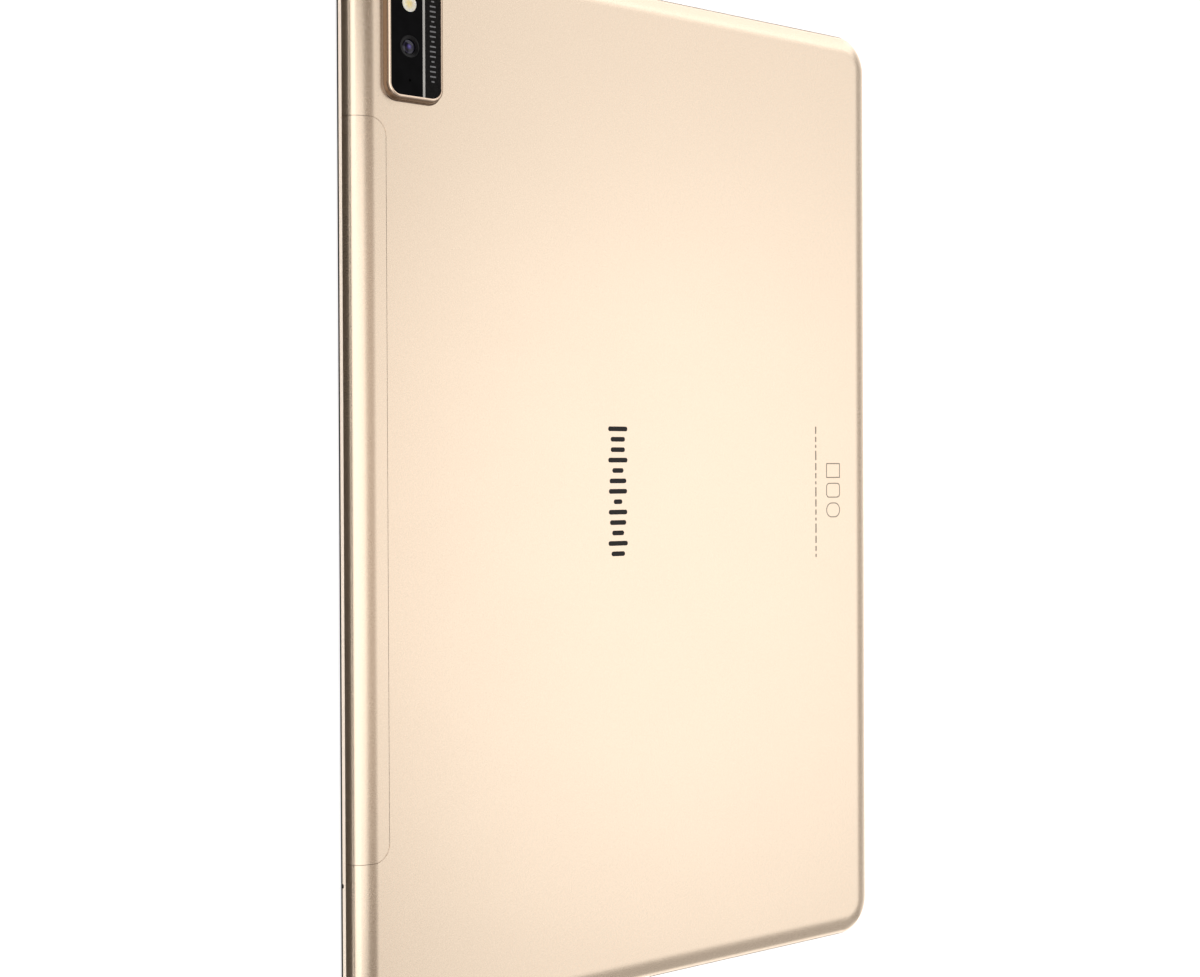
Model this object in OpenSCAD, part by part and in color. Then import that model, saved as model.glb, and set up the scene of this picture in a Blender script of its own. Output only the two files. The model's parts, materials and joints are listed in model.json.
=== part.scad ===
// Tablet computer lying on its screen, rear face up.
// Origin at the centre of the screen face. X runs along the long side, towards the rear camera.
// Y runs along the short side, towards the antenna cover. Z points out of the rear face.

/* [Body] */
// Length along the long side
body_l = 244; // [240:1:250]
// Width along the short side
body_w = 162; // [160:1:166]
// Thickness from the screen to the flat of the rear face
body_t = 7.5; // [7.5:0.1:8.5]
// Plan radius of the body's corners
corner_r = 9.5; // [8.5:0.5:10.5]
// Thickness of the front cover glass
glass_t = 0.8; // [0.7:0.05:0.9]
// Height of the flat side band of the front frame
band_t = 1.4; // [1.4:0.1:1.6]
// Wall of the rear shell
wall = 1; // [0.8:0.1:1.1]
// Radius of the rounded shoulder between the side and the back
shoulder_r = 3; // [2.6:0.1:3.2]
// Slope of the narrow ramp between the shoulder and the flat back
ramp_deg = 12; // [10:1:14]
// Distance from the side to the crease where the flat back begins
crease_in = 4.8; // [4.6:0.1:5]

/* [Antenna cover] */
// Length of the antenna cover along the long side
antenna_l = 164.4; // [150:0.2:166]
// Distance from the long edge to the seam on the back
antenna_in = 8.46; // [8:0.1:9]
// Plan radius of the seam's two corners
antenna_r = 4; // [3:0.5:5]
// Width of the seam's open groove
seam = 0.12; // [0.1:0.02:0.2]

/* [Camera] */
// Length of the camera window
window_l = 26; // [25:0.5:27]
// Width of the camera window
window_w = 13; // [12.5:0.25:13.5]
// Corner radius of the camera window
window_r = 2.5; // [2:0.25:3]
// Distance from the short edge to the middle of the window
window_from_end = 21.4; // [21:0.1:22]
// Distance from the long edge to the middle of the window
window_from_side = 15.3; // [15.2:0.1:16]
// Height of the camera bump above the back
bump_t = 1.9; // [1.7:0.1:2.2]
// Width of the bright rim round the window
rim_w = 0.5; // [0.4:0.05:0.6]
// Width of the sloping skirt outside the rim
skirt_w = 0.8; // [0.6:0.1:1]
// Diameter of the ring round the lens
lens_ring_d = 5; // [4.6:0.1:5.2]
// Diameter of the flash lens
flash_d = 3.7; // [3.4:0.1:3.9]

/* [Buttons and card tray] */
// Length of the power button
power_l = 12; // [10:1:14]
// Length of the volume rocker
volume_l = 22; // [20:1:24]
// Height of both buttons and of the tray's face
key_h = 2; // [1.8:0.1:2]
// How far the buttons stand out of the side
key_out = 0.5; // [0.4:0.1:0.7]
// Length of the card tray's face
tray_face_l = 18; // [17:1:19]

/* [Battery] */
// Length of one battery cell
cell_l = 130; // [120:1:132]
// Width of one battery cell
cell_w = 66; // [60:1:66]
// Thickness of one battery cell
cell_t = 3.2; // [2.8:0.1:3.2]

/* [Hidden] */
$fn = 48;
EPS = 0.01;

CHAMPAGNE = [0.94, 0.85, 0.76];
CHAMPAGNE_LIGHT = [0.97, 0.9, 0.82];
BLACK = [0.04, 0.04, 0.045];
CHARCOAL = [0.15, 0.15, 0.16];
STEEL = [0.72, 0.73, 0.75];
GOLD = [0.85, 0.68, 0.3];
BOARD_GREEN = [0.08, 0.3, 0.2];
FLEX_AMBER = [0.75, 0.48, 0.15];

half_l = body_l / 2;
half_w = body_w / 2;
band_top = glass_t + band_t;
roof = body_t - wall;

// Shoulder: an arc that starts on the side at side_top and ends on the ramp.
shoulder_steps = 8;
side_top = body_t - shoulder_r * cos(ramp_deg)
    - (crease_in - shoulder_r * (1 - sin(ramp_deg))) * tan(ramp_deg);

// Display stack, from the glass up to the support plate.
panel_l = 224;
panel_w = 142;
panel_t = 0.6;
display_gap = 0.5;
plate_t = 0.25;
plate_top = band_top + plate_t;
plate_in = 3;
tongue_in = wall + 0.15;
tongue_t = 1.2;
tongue_h = 1;

// Boards stand on bosses just clear of the support plate.
board_z = plate_top + 0.15;
board_t = 0.8;
board_top = board_z + board_t;
board_l = 39;
board_edge = half_l - 5;
boss_x = half_l - 7.2;
boss_d = 4;
flex_t = 0.15;

// Keys and card tray share one height on the camera end.
key_z = 4.1;
key_gap = 0.1;
power_y = 56;
volume_y = 35;
dome_y = 6;
dome_x = half_l - 3.3;
tray_y = -8;
blade_w = 12.6;
blade_t = 0.9;
blade_l = 27.5;
pin_y = 7.6;

// Connectors on the far end.
usb_z = 4.2;
usb_w = 8.94;
usb_h = 3.16;
usb_depth = 7.6;
jack_y = 18;
jack_z = 4.45;
jack_r = 1.8;
jack_in = 2.4;
jack_depth = 11.6;

// Speakers sit at the same place on both short ends.
speaker_y = -52;
speaker_l = 32;
speaker_depth = 14;
hole_pitch = 2.4;
hole_d = 1.3;
grille_z = 3.8;

// Camera window and what looks through it.
window_x = half_l - window_from_end;
window_y = half_w - window_from_side;
lens_x = window_x - 2.1;
flash_x = window_x + 7.4;
optic_y = window_y + 1.6;
barrel_d = 5.6;
dot_x = window_x - 9.6;
bump_top = body_t + bump_t;
window_t = 0.75;
window_top = bump_top - 0.1;
window_bottom = window_top - window_t;
spigot_l = window_l - 2;
spigot_w = window_w - 2;
divider_y = window_y - 2.05;
divider_w = 0.6;
divider_t = 0.12;

front_camera_y = half_w - 5.2;
front_camera_w = 6;
mic_x = -87.5;
mic_y = half_w - 3.7;
mic_z = 1.5;
mic_d = 1;
far_mic_y = -12;
cells_x = 3;

// ---- Shared shapes ----

// A straight-sided plate with round corners, between two heights.
module plate(l, w, r, z0, z1) {
    translate([-l / 2 + r, -w / 2, z0]) cube([l - 2 * r, w, z1 - z0]);
    translate([-l / 2, -w / 2 + r, z0]) cube([l, w - 2 * r, z1 - z0]);
    for (sx = [-1, 1], sy = [-1, 1])
        translate([sx * (l / 2 - r), sy * (w / 2 - r), z0]) cylinder(r = r, h = z1 - z0);
}

// A box given by its lowest and highest corners.
module box(low, high) {
    translate(low) cube(high - low);
}

// A solid whose edge follows a profile of [inset, height] points, lowest first.
module profiled(l, w, r, profile) {
    z0 = profile[0][1];
    z1 = profile[len(profile) - 1][1];
    section = concat([for (p = profile) [r - p[0], p[1]]], [[0, z1], [0, z0]]);
    long_run = l - 2 * r;
    short_run = w - 2 * r;
    for (turn = [0, 180]) rotate([0, 0, turn]) {
        translate([long_run / 2, short_run / 2, 0]) rotate_extrude(angle = 90) polygon(section);
        translate([long_run / 2, -short_run / 2, 0]) rotate([0, 0, -90])
            rotate_extrude(angle = 90) polygon(section);
        translate([long_run / 2, short_run / 2, 0]) rotate([90, 0, 0])
            linear_extrude(short_run) polygon(section);
        rotate([0, 0, 90]) translate([short_run / 2, long_run / 2, 0]) rotate([90, 0, 0])
            linear_extrude(long_run) polygon(section);
    }
    box([-long_run / 2, -short_run / 2, z0], [long_run / 2, short_run / 2, z1]);
}

// The shell's edge, moved inwards by off, from z0 up to the flat back.
function shoulder_point(off, a) = [
    shoulder_r - (shoulder_r - off) * cos(a),
    side_top + (shoulder_r - off) * sin(a)
];
function ramp_end(off) =
    let (foot = shoulder_point(off, 90 - ramp_deg))
    [foot[0] + (body_t - off - foot[1]) / tan(ramp_deg), body_t - off];
function shell_edge(off, z0) = concat(
    [[off, z0]],
    [for (i = [0:shoulder_steps]) shoulder_point(off, i * (90 - ramp_deg) / shoulder_steps)],
    [ramp_end(off)]
);

module shell() {
    difference() {
        profiled(body_l, body_w, corner_r, shell_edge(0, band_top));
        profiled(body_l, body_w, corner_r, shell_edge(wall, band_top - 1));
    }
}

// The region of the shell that the antenna cover fills, grown by a gap.
module antenna_zone(gap) {
    inner = half_w - antenna_in - gap;
    outer = half_w + 5;
    reach = antenna_l / 2 + gap;
    r = antenna_r + gap;
    box([-reach + r, inner, 0], [reach - r, outer, bump_top]);
    box([-reach, inner + r, 0], [reach, outer, bump_top]);
    for (s = [-1, 1]) translate([s * (reach - r), inner + r, 0]) cylinder(r = r, h = bump_top);
}

// A bar along Y with square ends, centred on the camera end's side.
module key_bar(y, l, h, x0, x1) {
    box([x0, y - l / 2, key_z - h / 2], [x1, y + l / 2, key_z + h / 2]);
}

// The flange that keeps a key in its slot. Its top stays under the shell's inner shoulder.
module key_flange(y, l, x0, x1) {
    box([x0, y - l / 2 - 1, key_z - key_h / 2 - 0.3], [x1, y + l / 2 + 1, side_top + 0.5]);
}

module stadium(w, h, x0, x1) {
    box([x0, -w / 2 + h / 2, -h / 2], [x1, w / 2 - h / 2, h / 2]);
    for (s = [-1, 1]) translate([x0, s * (w / 2 - h / 2), 0]) rotate([0, 90, 0])
        cylinder(r = h / 2, h = x1 - x0);
}

// A round wire through a list of points, with ball joints at the bends.
module wire(points, d) {
    for (i = [1:len(points) - 1]) {
        a = points[i - 1];
        v = points[i] - a;
        translate(a) rotate([0, acos(v[2] / norm(v)), atan2(v[1], v[0])]) cylinder(d = d, h = norm(v));
        if (i < len(points) - 1) translate(points[i]) sphere(d = d);
    }
}

function speaker_holes() = [for (i = [-5:5]) speaker_y + i * hole_pitch];
function screw_places() = [
    [boss_x, -27], [boss_x, 15], [boss_x, 51], [-boss_x, -26], [-boss_x, 28]
];

// ---- Outside ----

module rear_cover() {
    color(CHAMPAGNE) {
        difference() {
            shell();
            antenna_zone(seam);
            translate([window_x, window_y, 0]) plate(spigot_l + 0.2, spigot_w + 0.2, 2.1, roof - 1, body_t + 1);
            key_bar(power_y, power_l + 2 * key_gap, key_h + 2 * key_gap, half_l - 2, half_l + 1);
            key_bar(volume_y, volume_l + 3 * key_gap, key_h + 2 * key_gap, half_l - 2, half_l + 1);
            key_bar(tray_y, tray_face_l + 2 * key_gap, key_h + 2 * key_gap, half_l - 2, half_l + 1);
            translate([0, 0, usb_z]) stadium(usb_w + 0.3, usb_h + 0.3, -half_l - 1, -half_l + 3);
            translate([-half_l - 1, jack_y, jack_z]) rotate([0, 90, 0]) cylinder(r = jack_r + 0.1, h = 4);
            jack_block(0.1);
            translate([-half_l - 1, far_mic_y, key_z]) rotate([0, 90, 0]) cylinder(d = mic_d, h = 3);
            for (s = [-1, 1], y = speaker_holes())
                translate([s * half_l, y, grille_z]) rotate([0, 90, 0]) cylinder(d = hole_d, h = 4, center = true);
        }
        // Ledge that carries the antenna cover along its seam.
        box([-76, half_w - antenna_in - 2, roof - 0.6], [76, half_w - antenna_in + 0.8, roof]);
    }
}

module antenna_cover() {
    color(CHAMPAGNE) intersection() {
        shell();
        antenna_zone(0);
    }
}

module frame_boss(place, top) {
    translate([place[0], place[1], band_top - EPS]) cylinder(d = boss_d, h = top - band_top + EPS);
}

module front_frame() {
    opening_l = panel_l + 2 * display_gap;
    opening_w = panel_w + 2 * display_gap;
    color(CHAMPAGNE_LIGHT) difference() {
        union() {
            plate(body_l, body_w, corner_r, glass_t, band_top);
            difference() {
                plate(body_l - 2 * tongue_in, body_w - 2 * tongue_in, corner_r - tongue_in,
                    band_top - EPS, band_top + tongue_h);
                plate(body_l - 2 * tongue_in - 2 * tongue_t, body_w - 2 * tongue_in - 2 * tongue_t,
                    corner_r - tongue_in - tongue_t, 0, body_t);
                box([half_l - 5, tray_y - 11, band_top], [half_l, power_y + 8, body_t]);
                box([-half_l, -8, band_top], [-half_l + 5, jack_y + 5, body_t]);
                box([-half_l, far_mic_y - 3, band_top], [-half_l + 5, far_mic_y + 3, body_t]);
                for (s = [-1, 1])
                    box([s * half_l - 5, speaker_y - 18, band_top], [s * half_l + 5, speaker_y + 18, body_t]);
            }
            for (place = screw_places()) frame_boss(place, board_z);
        }
        plate(opening_l, opening_w, 1, 0, body_t);
        difference() {
            plate(body_l - 3, body_w - 3, corner_r - 1.5, 0, glass_t + 0.15);
            plate(body_l - 13, body_w - 13, 3, 0, 1);
        }
        for (place = screw_places()) translate([place[0], place[1], glass_t + 0.4]) cylinder(d = 1.2, h = 3);
        box([-front_camera_w / 2 - 0.2, front_camera_y - front_camera_w / 2 - 0.2, 0],
            [front_camera_w / 2 + 0.2, front_camera_y + front_camera_w / 2 + 0.2, band_top + 1]);
        translate([mic_x, mic_y, mic_z]) rotate([-90, 0, 0]) cylinder(d = mic_d, h = 6);
        translate([mic_x, mic_y, mic_z]) cylinder(d = mic_d, h = 3);
    }
}

module front_glass() {
    margin = 0.1;
    bevel = 0.2;
    color(BLACK) profiled(body_l - 2 * margin, body_w - 2 * margin, corner_r - margin,
        [[bevel, 0], [0, bevel], [0, glass_t]]);
}

module glass_tape() {
    color(CHARCOAL) difference() {
        plate(body_l - 3.4, body_w - 3.4, corner_r - 1.7, glass_t, glass_t + 0.15);
        plate(body_l - 12.6, body_w - 12.6, 3.2, 0, 2);
        box([-3.6, half_w - 9, 0], [3.6, half_w, 2]);
    }
}

// ---- Display ----

module display_panel() {
    color([0.1, 0.1, 0.13]) difference() {
        box([-panel_l / 2, -panel_w / 2, glass_t], [panel_l / 2, panel_w / 2, glass_t + panel_t]);
        box([-panel_l / 2 - 1, -panel_w / 2 - 1, glass_t + panel_t / 2], [panel_l / 2 + 1, -panel_w / 2 + 2.5, 3]);
    }
}

module backlight_unit() {
    low_z = glass_t + panel_t;
    color([0.85, 0.87, 0.9]) difference() {
        box([-panel_l / 2, -panel_w / 2 + 0.2, low_z], [panel_l / 2, panel_w / 2 - 0.2, band_top]);
        for (s = [-1, 1]) translate([s * panel_l / 2, 0, low_z - 1]) cylinder(r = 2, h = 3);
    }
}

module support_plate() {
    color(STEEL) difference() {
        plate(body_l - 2 * plate_in, body_w - 2 * plate_in, corner_r - plate_in, band_top, plate_top);
        for (place = screw_places()) translate([place[0], place[1], 0]) cylinder(d = boss_d + 0.4, h = 5);
        box([-3.4, half_w - 9, 0], [3.4, half_w, 5]);
        translate([mic_x, mic_y, 0]) cylinder(d = mic_d, h = 5);
        for (s = [-1, 1]) box([57, s * 71.3 - 0.6, 0], [73, s * 71.3 + 0.6, 5]);
        for (x = [-94, -82, -70], y = [-45, -15, 15, 45]) translate([x, y, 0]) cylinder(d = 7, h = 5);
    }
}

// ---- Rear camera ----

module camera_bezel() {
    foot = rim_w + skirt_w;
    color(CHAMPAGNE) translate([window_x, window_y, 0]) difference() {
        union() {
            profiled(window_l + 2 * foot, window_w + 2 * foot, window_r + foot, [
                [0, body_t], [0, body_t + 0.2], [skirt_w * 0.75, bump_top - 0.35], [skirt_w, bump_top]
            ]);
            plate(spigot_l, spigot_w, 2, roof, body_t + EPS);
        }
        plate(window_l + 0.04, window_w + 0.04, window_r, window_bottom, bump_top + 1);
        plate(spigot_l - 1.6, spigot_w - 1.4, 1.4, roof - 1, bump_top);
    }
}

module camera_window() {
    color(BLACK) difference() {
        translate([window_x, window_y, 0]) plate(window_l, window_w, window_r - 0.02, window_bottom, window_top);
        translate([lens_x, optic_y, 0]) cylinder(d = lens_ring_d + 0.05, h = bump_top + 1);
        translate([flash_x, optic_y, 0]) cylinder(d = flash_d + 0.05, h = bump_top + 1);
        translate([dot_x, optic_y, 0]) cylinder(d = 0.5, h = bump_top + 1);
        box([window_x - window_l, divider_y - divider_w / 2, window_top - divider_t],
            [window_x + window_l, divider_y + divider_w / 2, bump_top + 1]);
    }
}

module window_divider() {
    color([0.7, 0.7, 0.72]) translate([window_x, divider_y, window_top - divider_t])
        translate([-window_l / 2, -divider_w / 2, 0]) cube([window_l, divider_w, divider_t]);
}

module rear_lens_ring() {
    color(CHARCOAL) translate([lens_x, optic_y, 0]) difference() {
        translate([0, 0, window_bottom]) cylinder(d = lens_ring_d, h = window_t - 0.05);
        translate([0, 0, window_top - 0.45]) cylinder(d1 = 3.4, d2 = 4.5, h = 0.45);
        translate([0, 0, window_bottom - 1]) cylinder(d = 3.4, h = 3);
    }
}

module rear_lens() {
    dome_r = 4;
    color([0.12, 0.12, 0.25]) translate([lens_x, optic_y, 0]) intersection() {
        translate([0, 0, window_bottom]) cylinder(d = 3.3, h = 1);
        translate([0, 0, window_bottom + 0.5 - dome_r]) sphere(r = dome_r);
    }
}

module camera_gasket() {
    color(BLACK) translate([lens_x, optic_y, 0]) difference() {
        translate([0, 0, body_t + 0.1]) cylinder(d = barrel_d + 0.7, h = window_bottom - body_t - 0.1);
        translate([0, 0, body_t - 1]) cylinder(d = barrel_d + 0.06, h = 4);
    }
}

module rear_camera_module() {
    half = 4.3;
    color(CHARCOAL) difference() {
        union() {
            box([lens_x - half, optic_y - half, 2.9], [lens_x + half, optic_y + half, roof - 0.1]);
            translate([lens_x, optic_y, roof - 0.2]) cylinder(d = barrel_d, h = window_bottom - roof);
        }
        translate([lens_x, optic_y, window_bottom - 1]) cylinder(d1 = 2, d2 = 3.6, h = 1.01);
    }
}

module rear_camera_flex() {
    color(FLEX_AMBER) {
        box([lens_x - 3, 51, board_top], [lens_x + 3, optic_y - 4.3, board_top + flex_t]);
        box([lens_x - 4, 51.5, board_top + flex_t], [lens_x + 4, 54, board_top + flex_t + 0.7]);
    }
}

module flash_lens() {
    color([0.98, 0.95, 0.7]) translate([flash_x, optic_y, 0]) {
        translate([0, 0, body_t]) cylinder(d = flash_d - 0.4, h = window_bottom - body_t);
        translate([0, 0, window_bottom]) cylinder(d = flash_d, h = window_t - 0.1);
    }
}

module flash_led() {
    color([0.95, 0.85, 0.3]) {
        box([flash_x - 4, optic_y - 5, roof - 0.3], [flash_x + 4, optic_y + 3.5, roof]);
        box([flash_x - 1.4, optic_y - 1.4, roof], [flash_x + 1.4, optic_y + 1.4, roof + 0.7]);
    }
}

// ---- Front camera ----

module front_camera_module() {
    half = front_camera_w / 2;
    color(CHARCOAL) difference() {
        union() {
            box([-half, front_camera_y - half, 2], [half, front_camera_y + half, 4.6]);
            translate([0, front_camera_y, glass_t]) cylinder(d = 5, h = 2);
        }
        translate([0, front_camera_y, glass_t - EPS]) cylinder(d1 = 2.6, d2 = 1.4, h = 0.7);
    }
}

module front_camera_flex() {
    y0 = front_camera_y - 2.4;
    y1 = front_camera_y - 0.4;
    run_end = 89;
    color(FLEX_AMBER) {
        box([front_camera_w / 2, y0, board_z], [run_end, y1, board_z + flex_t]);
        box([run_end - 4, 56.3, board_z], [run_end, y0 + EPS, board_z + flex_t]);
        box([run_end - 4, 56.15, board_z], [run_end, 56.3, board_top + flex_t]);
        box([run_end - 4, 51, board_top], [run_end, 56.3, board_top + flex_t]);
        box([run_end - 4, 51.5, board_top + flex_t], [run_end, 53.5, board_top + 0.9]);
    }
}

// ---- Keys ----

module power_button() {
    color(CHAMPAGNE_LIGHT) {
        key_bar(power_y, power_l, key_h, half_l - wall - 0.2, half_l + key_out);
        key_flange(power_y, power_l, half_l - wall - 0.7, half_l - wall - 0.1);
        translate([dome_x + 0.35, power_y, key_z]) rotate([0, 90, 0])
            cylinder(d = 1.4, h = half_l - wall - 0.6 - dome_x - 0.35);
    }
}

module volume_rocker() {
    color(CHAMPAGNE_LIGHT) {
        key_bar(volume_y, volume_l, key_h, half_l - wall - 0.6, half_l + key_out);
        key_flange(volume_y, volume_l, half_l - wall - 1, half_l - wall - 0.5);
        for (s = [-1, 1]) translate([dome_x + 0.22, volume_y + s * dome_y, key_z]) rotate([0, 90, 0])
            cylinder(d = 1.4, h = half_l - wall - 0.9 - dome_x - 0.22);
    }
}

module button_flex() {
    base_x = dome_x - 0.45;
    color(FLEX_AMBER) {
        box([base_x, volume_y - 10, key_z - 1.2], [base_x + flex_t, power_y + 4, key_z + 1.2]);
        for (y = [power_y, volume_y - dome_y, volume_y + dome_y])
            translate([base_x + flex_t, y, key_z]) rotate([0, 90, 0]) cylinder(d1 = 2.4, d2 = 1.6, h = 0.3);
        box([114, volume_y + 9, board_top], [base_x + EPS, volume_y + 12, board_top + flex_t]);
    }
}

module button_bracket() {
    back_x = dome_x - 0.95;
    color(STEEL) difference() {
        box([back_x, volume_y - 11, plate_top], [back_x + 0.5, power_y + 5, key_z + 1.6]);
        for (y = [volume_y, power_y - 9]) translate([back_x - 1, y, key_z + 0.4]) rotate([0, 90, 0])
            cylinder(d = 1.2, h = 3);
        box([back_x - 1, volume_y + 8.8, board_top - 0.1], [back_x + 1, volume_y + 12.2, board_top + 0.3]);
    }
}

// ---- Card tray ----

module card_tray() {
    x1 = half_l - wall - 0.1;
    x0 = x1 - blade_l;
    color(CHAMPAGNE_LIGHT) difference() {
        union() {
            intersection() {
                profiled(body_l, body_w, corner_r, shell_edge(0.04, band_top));
                key_bar(tray_y, tray_face_l, key_h, x1 - EPS, half_l + 1);
            }
            box([x0, tray_y - blade_w / 2, key_z - blade_t / 2], [x1, tray_y + blade_w / 2, key_z + blade_t / 2]);
        }
        // Two card pockets and the hole for the release pin.
        for (x = [x0 + 1.2, x0 + 13.4])
            box([x, tray_y - blade_w / 2 + 1, key_z - blade_t / 2 + 0.25],
                [x + 11, tray_y + blade_w / 2 - 1, key_z + 1]);
        for (x = [x0 + 3, x0 + 15.2])
            box([x, tray_y - blade_w / 2 + 2.4, 0], [x + 7.4, tray_y + blade_w / 2 - 2.4, body_t]);
        translate([x1 - 1, tray_y + pin_y, key_z]) rotate([0, 90, 0]) cylinder(d = 1, h = 4);
    }
}

module card_socket() {
    x0 = half_l - wall - 0.1 - blade_l - 1.2;
    x1 = half_l - 5.4;
    inner = blade_w / 2 + 0.15;
    lid_z = key_z + blade_t / 2 + 0.15;
    color(STEEL) difference() {
        box([x0, tray_y - inner - 0.3, board_top], [x1, tray_y + inner + 0.3, lid_z + 0.2]);
        box([x0 + 0.5, tray_y - inner, board_top - 1], [x1 + 1, tray_y + inner, lid_z]);
        for (x = [x0 + 5, x0 + 16]) box([x, tray_y - 3.5, lid_z - 1], [x + 5, tray_y + 3.5, body_t]);
    }
}

module card_contacts() {
    x0 = half_l - wall - blade_l;
    color(GOLD) for (x = [x0 + 4, x0 + 7, x0 + 16, x0 + 19], s = [-1, 0, 1])
        box([x, tray_y + s * 2 - 0.4, board_top], [x + 1.8, tray_y + s * 2 + 0.4, board_top + 0.12]);
}

module card_ejector() {
    x0 = half_l - wall - blade_l - 2;
    rod_y = tray_y + pin_y;
    color(STEEL) {
        translate([x0, rod_y, key_z]) rotate([0, 90, 0]) cylinder(d = 0.9, h = half_l - 1.7 - x0);
        box([x0 - 1, tray_y - 5, board_top], [x0, rod_y + 0.5, key_z + 0.4]);
    }
}

// ---- Battery ----

module battery_cells() {
    color([0.2, 0.2, 0.22]) for (s = [-1, 1]) translate([cells_x, s * (cell_w / 2 + 1), 0])
        plate(cell_l, cell_w, 1.5, plate_top + 0.1, plate_top + 0.1 + cell_t);
}

module battery_tape() {
    color([0.9, 0.9, 0.85]) for (y = [-48, -20, 20, 48])
        box([cells_x - cell_l / 2 + 5, y - 6, plate_top], [cells_x + cell_l / 2 - 5, y + 6, plate_top + 0.1]);
}

module battery_board() {
    x0 = cells_x + cell_l / 2;
    color([0.1, 0.35, 0.5]) {
        box([x0 + 0.05, -30, 3], [x0 + 5, 30, 3.8]);
        for (y = [-22, -14, 14, 22]) box([x0 + 1, y - 1.5, 3.8], [x0 + 4, y + 1.5, 4.7]);
    }
}

module battery_cable() {
    x0 = cells_x + cell_l / 2 + 4.2;
    x1 = board_edge - board_l + 3;
    wire_d = 0.7;
    color("firebrick") for (i = [-2:2])
        translate([x0, i * 1.1, 4.2]) rotate([0, 90, 0]) cylinder(d = wire_d, h = x1 - x0);
    color("white") box([x1, -3.5, board_top], [x1 + 3, 3.5, 4.9]);
}

// ---- Main board ----

module main_board() {
    x0 = board_edge - board_l;
    color(BOARD_GREEN) difference() {
        union() {
            box([x0, -76, board_z], [half_l - speaker_depth - 3, -33, board_top]);
            box([x0, -33 - EPS, board_z], [board_edge, 56, board_top]);
        }
        for (place = screw_places()) translate([place[0], place[1], 0]) cylinder(d = 1.7, h = 6);
    }
}

function can_places() = [[82, 14, 20, 34], [82, -24, 8, 20], [82, -70, 18, 34]];

module board_chips() {
    color(BLACK) {
        for (c = can_places()) {
            box([c[0] + 2, c[1] + 3, board_top], [c[0] + c[2] - 2, c[1] + c[3] / 2 - 1, board_top + 0.9]);
            box([c[0] + 2, c[1] + c[3] / 2 + 1, board_top], [c[0] + c[2] - 2, c[1] + c[3] - 3, board_top + 0.7]);
        }
        for (y = [22:4:46]) box([105, y, board_top], [107, y + 1.2, board_top + 0.8]);
        for (y = [-30:3:-24]) box([100, y, board_top], [103, y + 1.6, board_top + 1]);
    }
}

module shield_cans() {
    t = 0.2;
    h = 1.5;
    color(STEEL) for (c = can_places()) difference() {
        box([c[0], c[1], board_top], [c[0] + c[2], c[1] + c[3], board_top + h]);
        box([c[0] + t, c[1] + t, board_top - 1], [c[0] + c[2] - t, c[1] + c[3] - t, board_top + h - t]);
    }
}

module thermal_sheet() {
    c = can_places()[0];
    color([0.25, 0.25, 0.27])
        box([c[0] + 1, c[1] + 1, board_top + 1.5], [c[0] + c[2] - 1, c[1] + c[3] - 1, board_top + 1.65]);
}

// A flat cable's end: up the side of a board, over its edge and into a plug.
module flex_end(x, y0, y1, dir) {
    box([min(x, x - dir * flex_t), y0, board_z], [max(x, x - dir * flex_t), y1, board_top + flex_t]);
    box([min(x, x + dir * 4), y0, board_top], [max(x, x + dir * 4), y1, board_top + flex_t]);
    box([min(x + dir * 1.5, x + dir * 3.8), y0 - 0.5, board_top + flex_t],
        [max(x + dir * 1.5, x + dir * 3.8), y1 + 0.5, board_top + 0.9]);
}

module board_flex() {
    x0 = -half_l + 18;
    x1 = board_edge - board_l - 0.02;
    y0 = -half_w + 3.5;
    color(FLEX_AMBER) {
        box([x0 + 0.02, y0, board_z], [x1, y0 + 4, board_z + flex_t]);
        box([x0 + 0.02, y0, board_z], [x0 + 5, -18, board_z + flex_t]);
        translate([0, 2.5, 0]) flex_end(x1, y0, y0 + 1.5, 1);
        flex_end(x0 + 0.02, -26, -18, -1);
    }
}

module display_flex() {
    x1 = board_edge - board_l - 0.02;
    y0 = -71.4;
    color(FLEX_AMBER) {
        box([58, y0, 1.3], [72, y0 + flex_t, board_z + flex_t]);
        box([58, y0, board_z], [72, -68, board_z + flex_t]);
        box([72 - EPS, y0, board_z], [x1, -68, board_z + flex_t]);
        flex_end(x1, y0, -68, 1);
    }
}

module touch_flex() {
    x1 = board_edge - board_l - 0.02;
    color(FLEX_AMBER) {
        box([58, 71.25, 1.3], [70, 71.4, board_z + flex_t]);
        box([58, 68.2, board_z], [76, 71.4, board_z + flex_t]);
        box([72, 46, board_z], [76, 68.2 + EPS, board_z + flex_t]);
        box([72, 46, board_z], [x1, 51, board_z + flex_t]);
        flex_end(x1, 46, 51, 1);
    }
}

// ---- Connectors ----

module usb_board() {
    x0 = -half_l + 3;
    x1 = -half_l + 18;
    color(BOARD_GREEN) difference() {
        box([x0, -30, board_z], [x1, 32, board_top]);
        box([x0 - 1, -usb_w / 2 - 0.2, 0], [-half_l + usb_depth + 1.6, usb_w / 2 + 0.2, body_t]);
        box([x0 - 1, jack_y - 3.2, 0], [-half_l + jack_in + jack_depth + 1.2, jack_y + 3.2, body_t]);
        for (place = screw_places()) translate([place[0], place[1], 0]) cylinder(d = 1.7, h = 6);
    }
}

module usb_port() {
    x0 = -half_l + 0.7;
    t = 0.3;
    color(STEEL) translate([0, 0, usb_z]) difference() {
        stadium(usb_w, usb_h, x0, x0 + usb_depth);
        stadium(usb_w - 2 * t, usb_h - 2 * t, x0 - 1, x0 + usb_depth - 0.4);
    }
}

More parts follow.
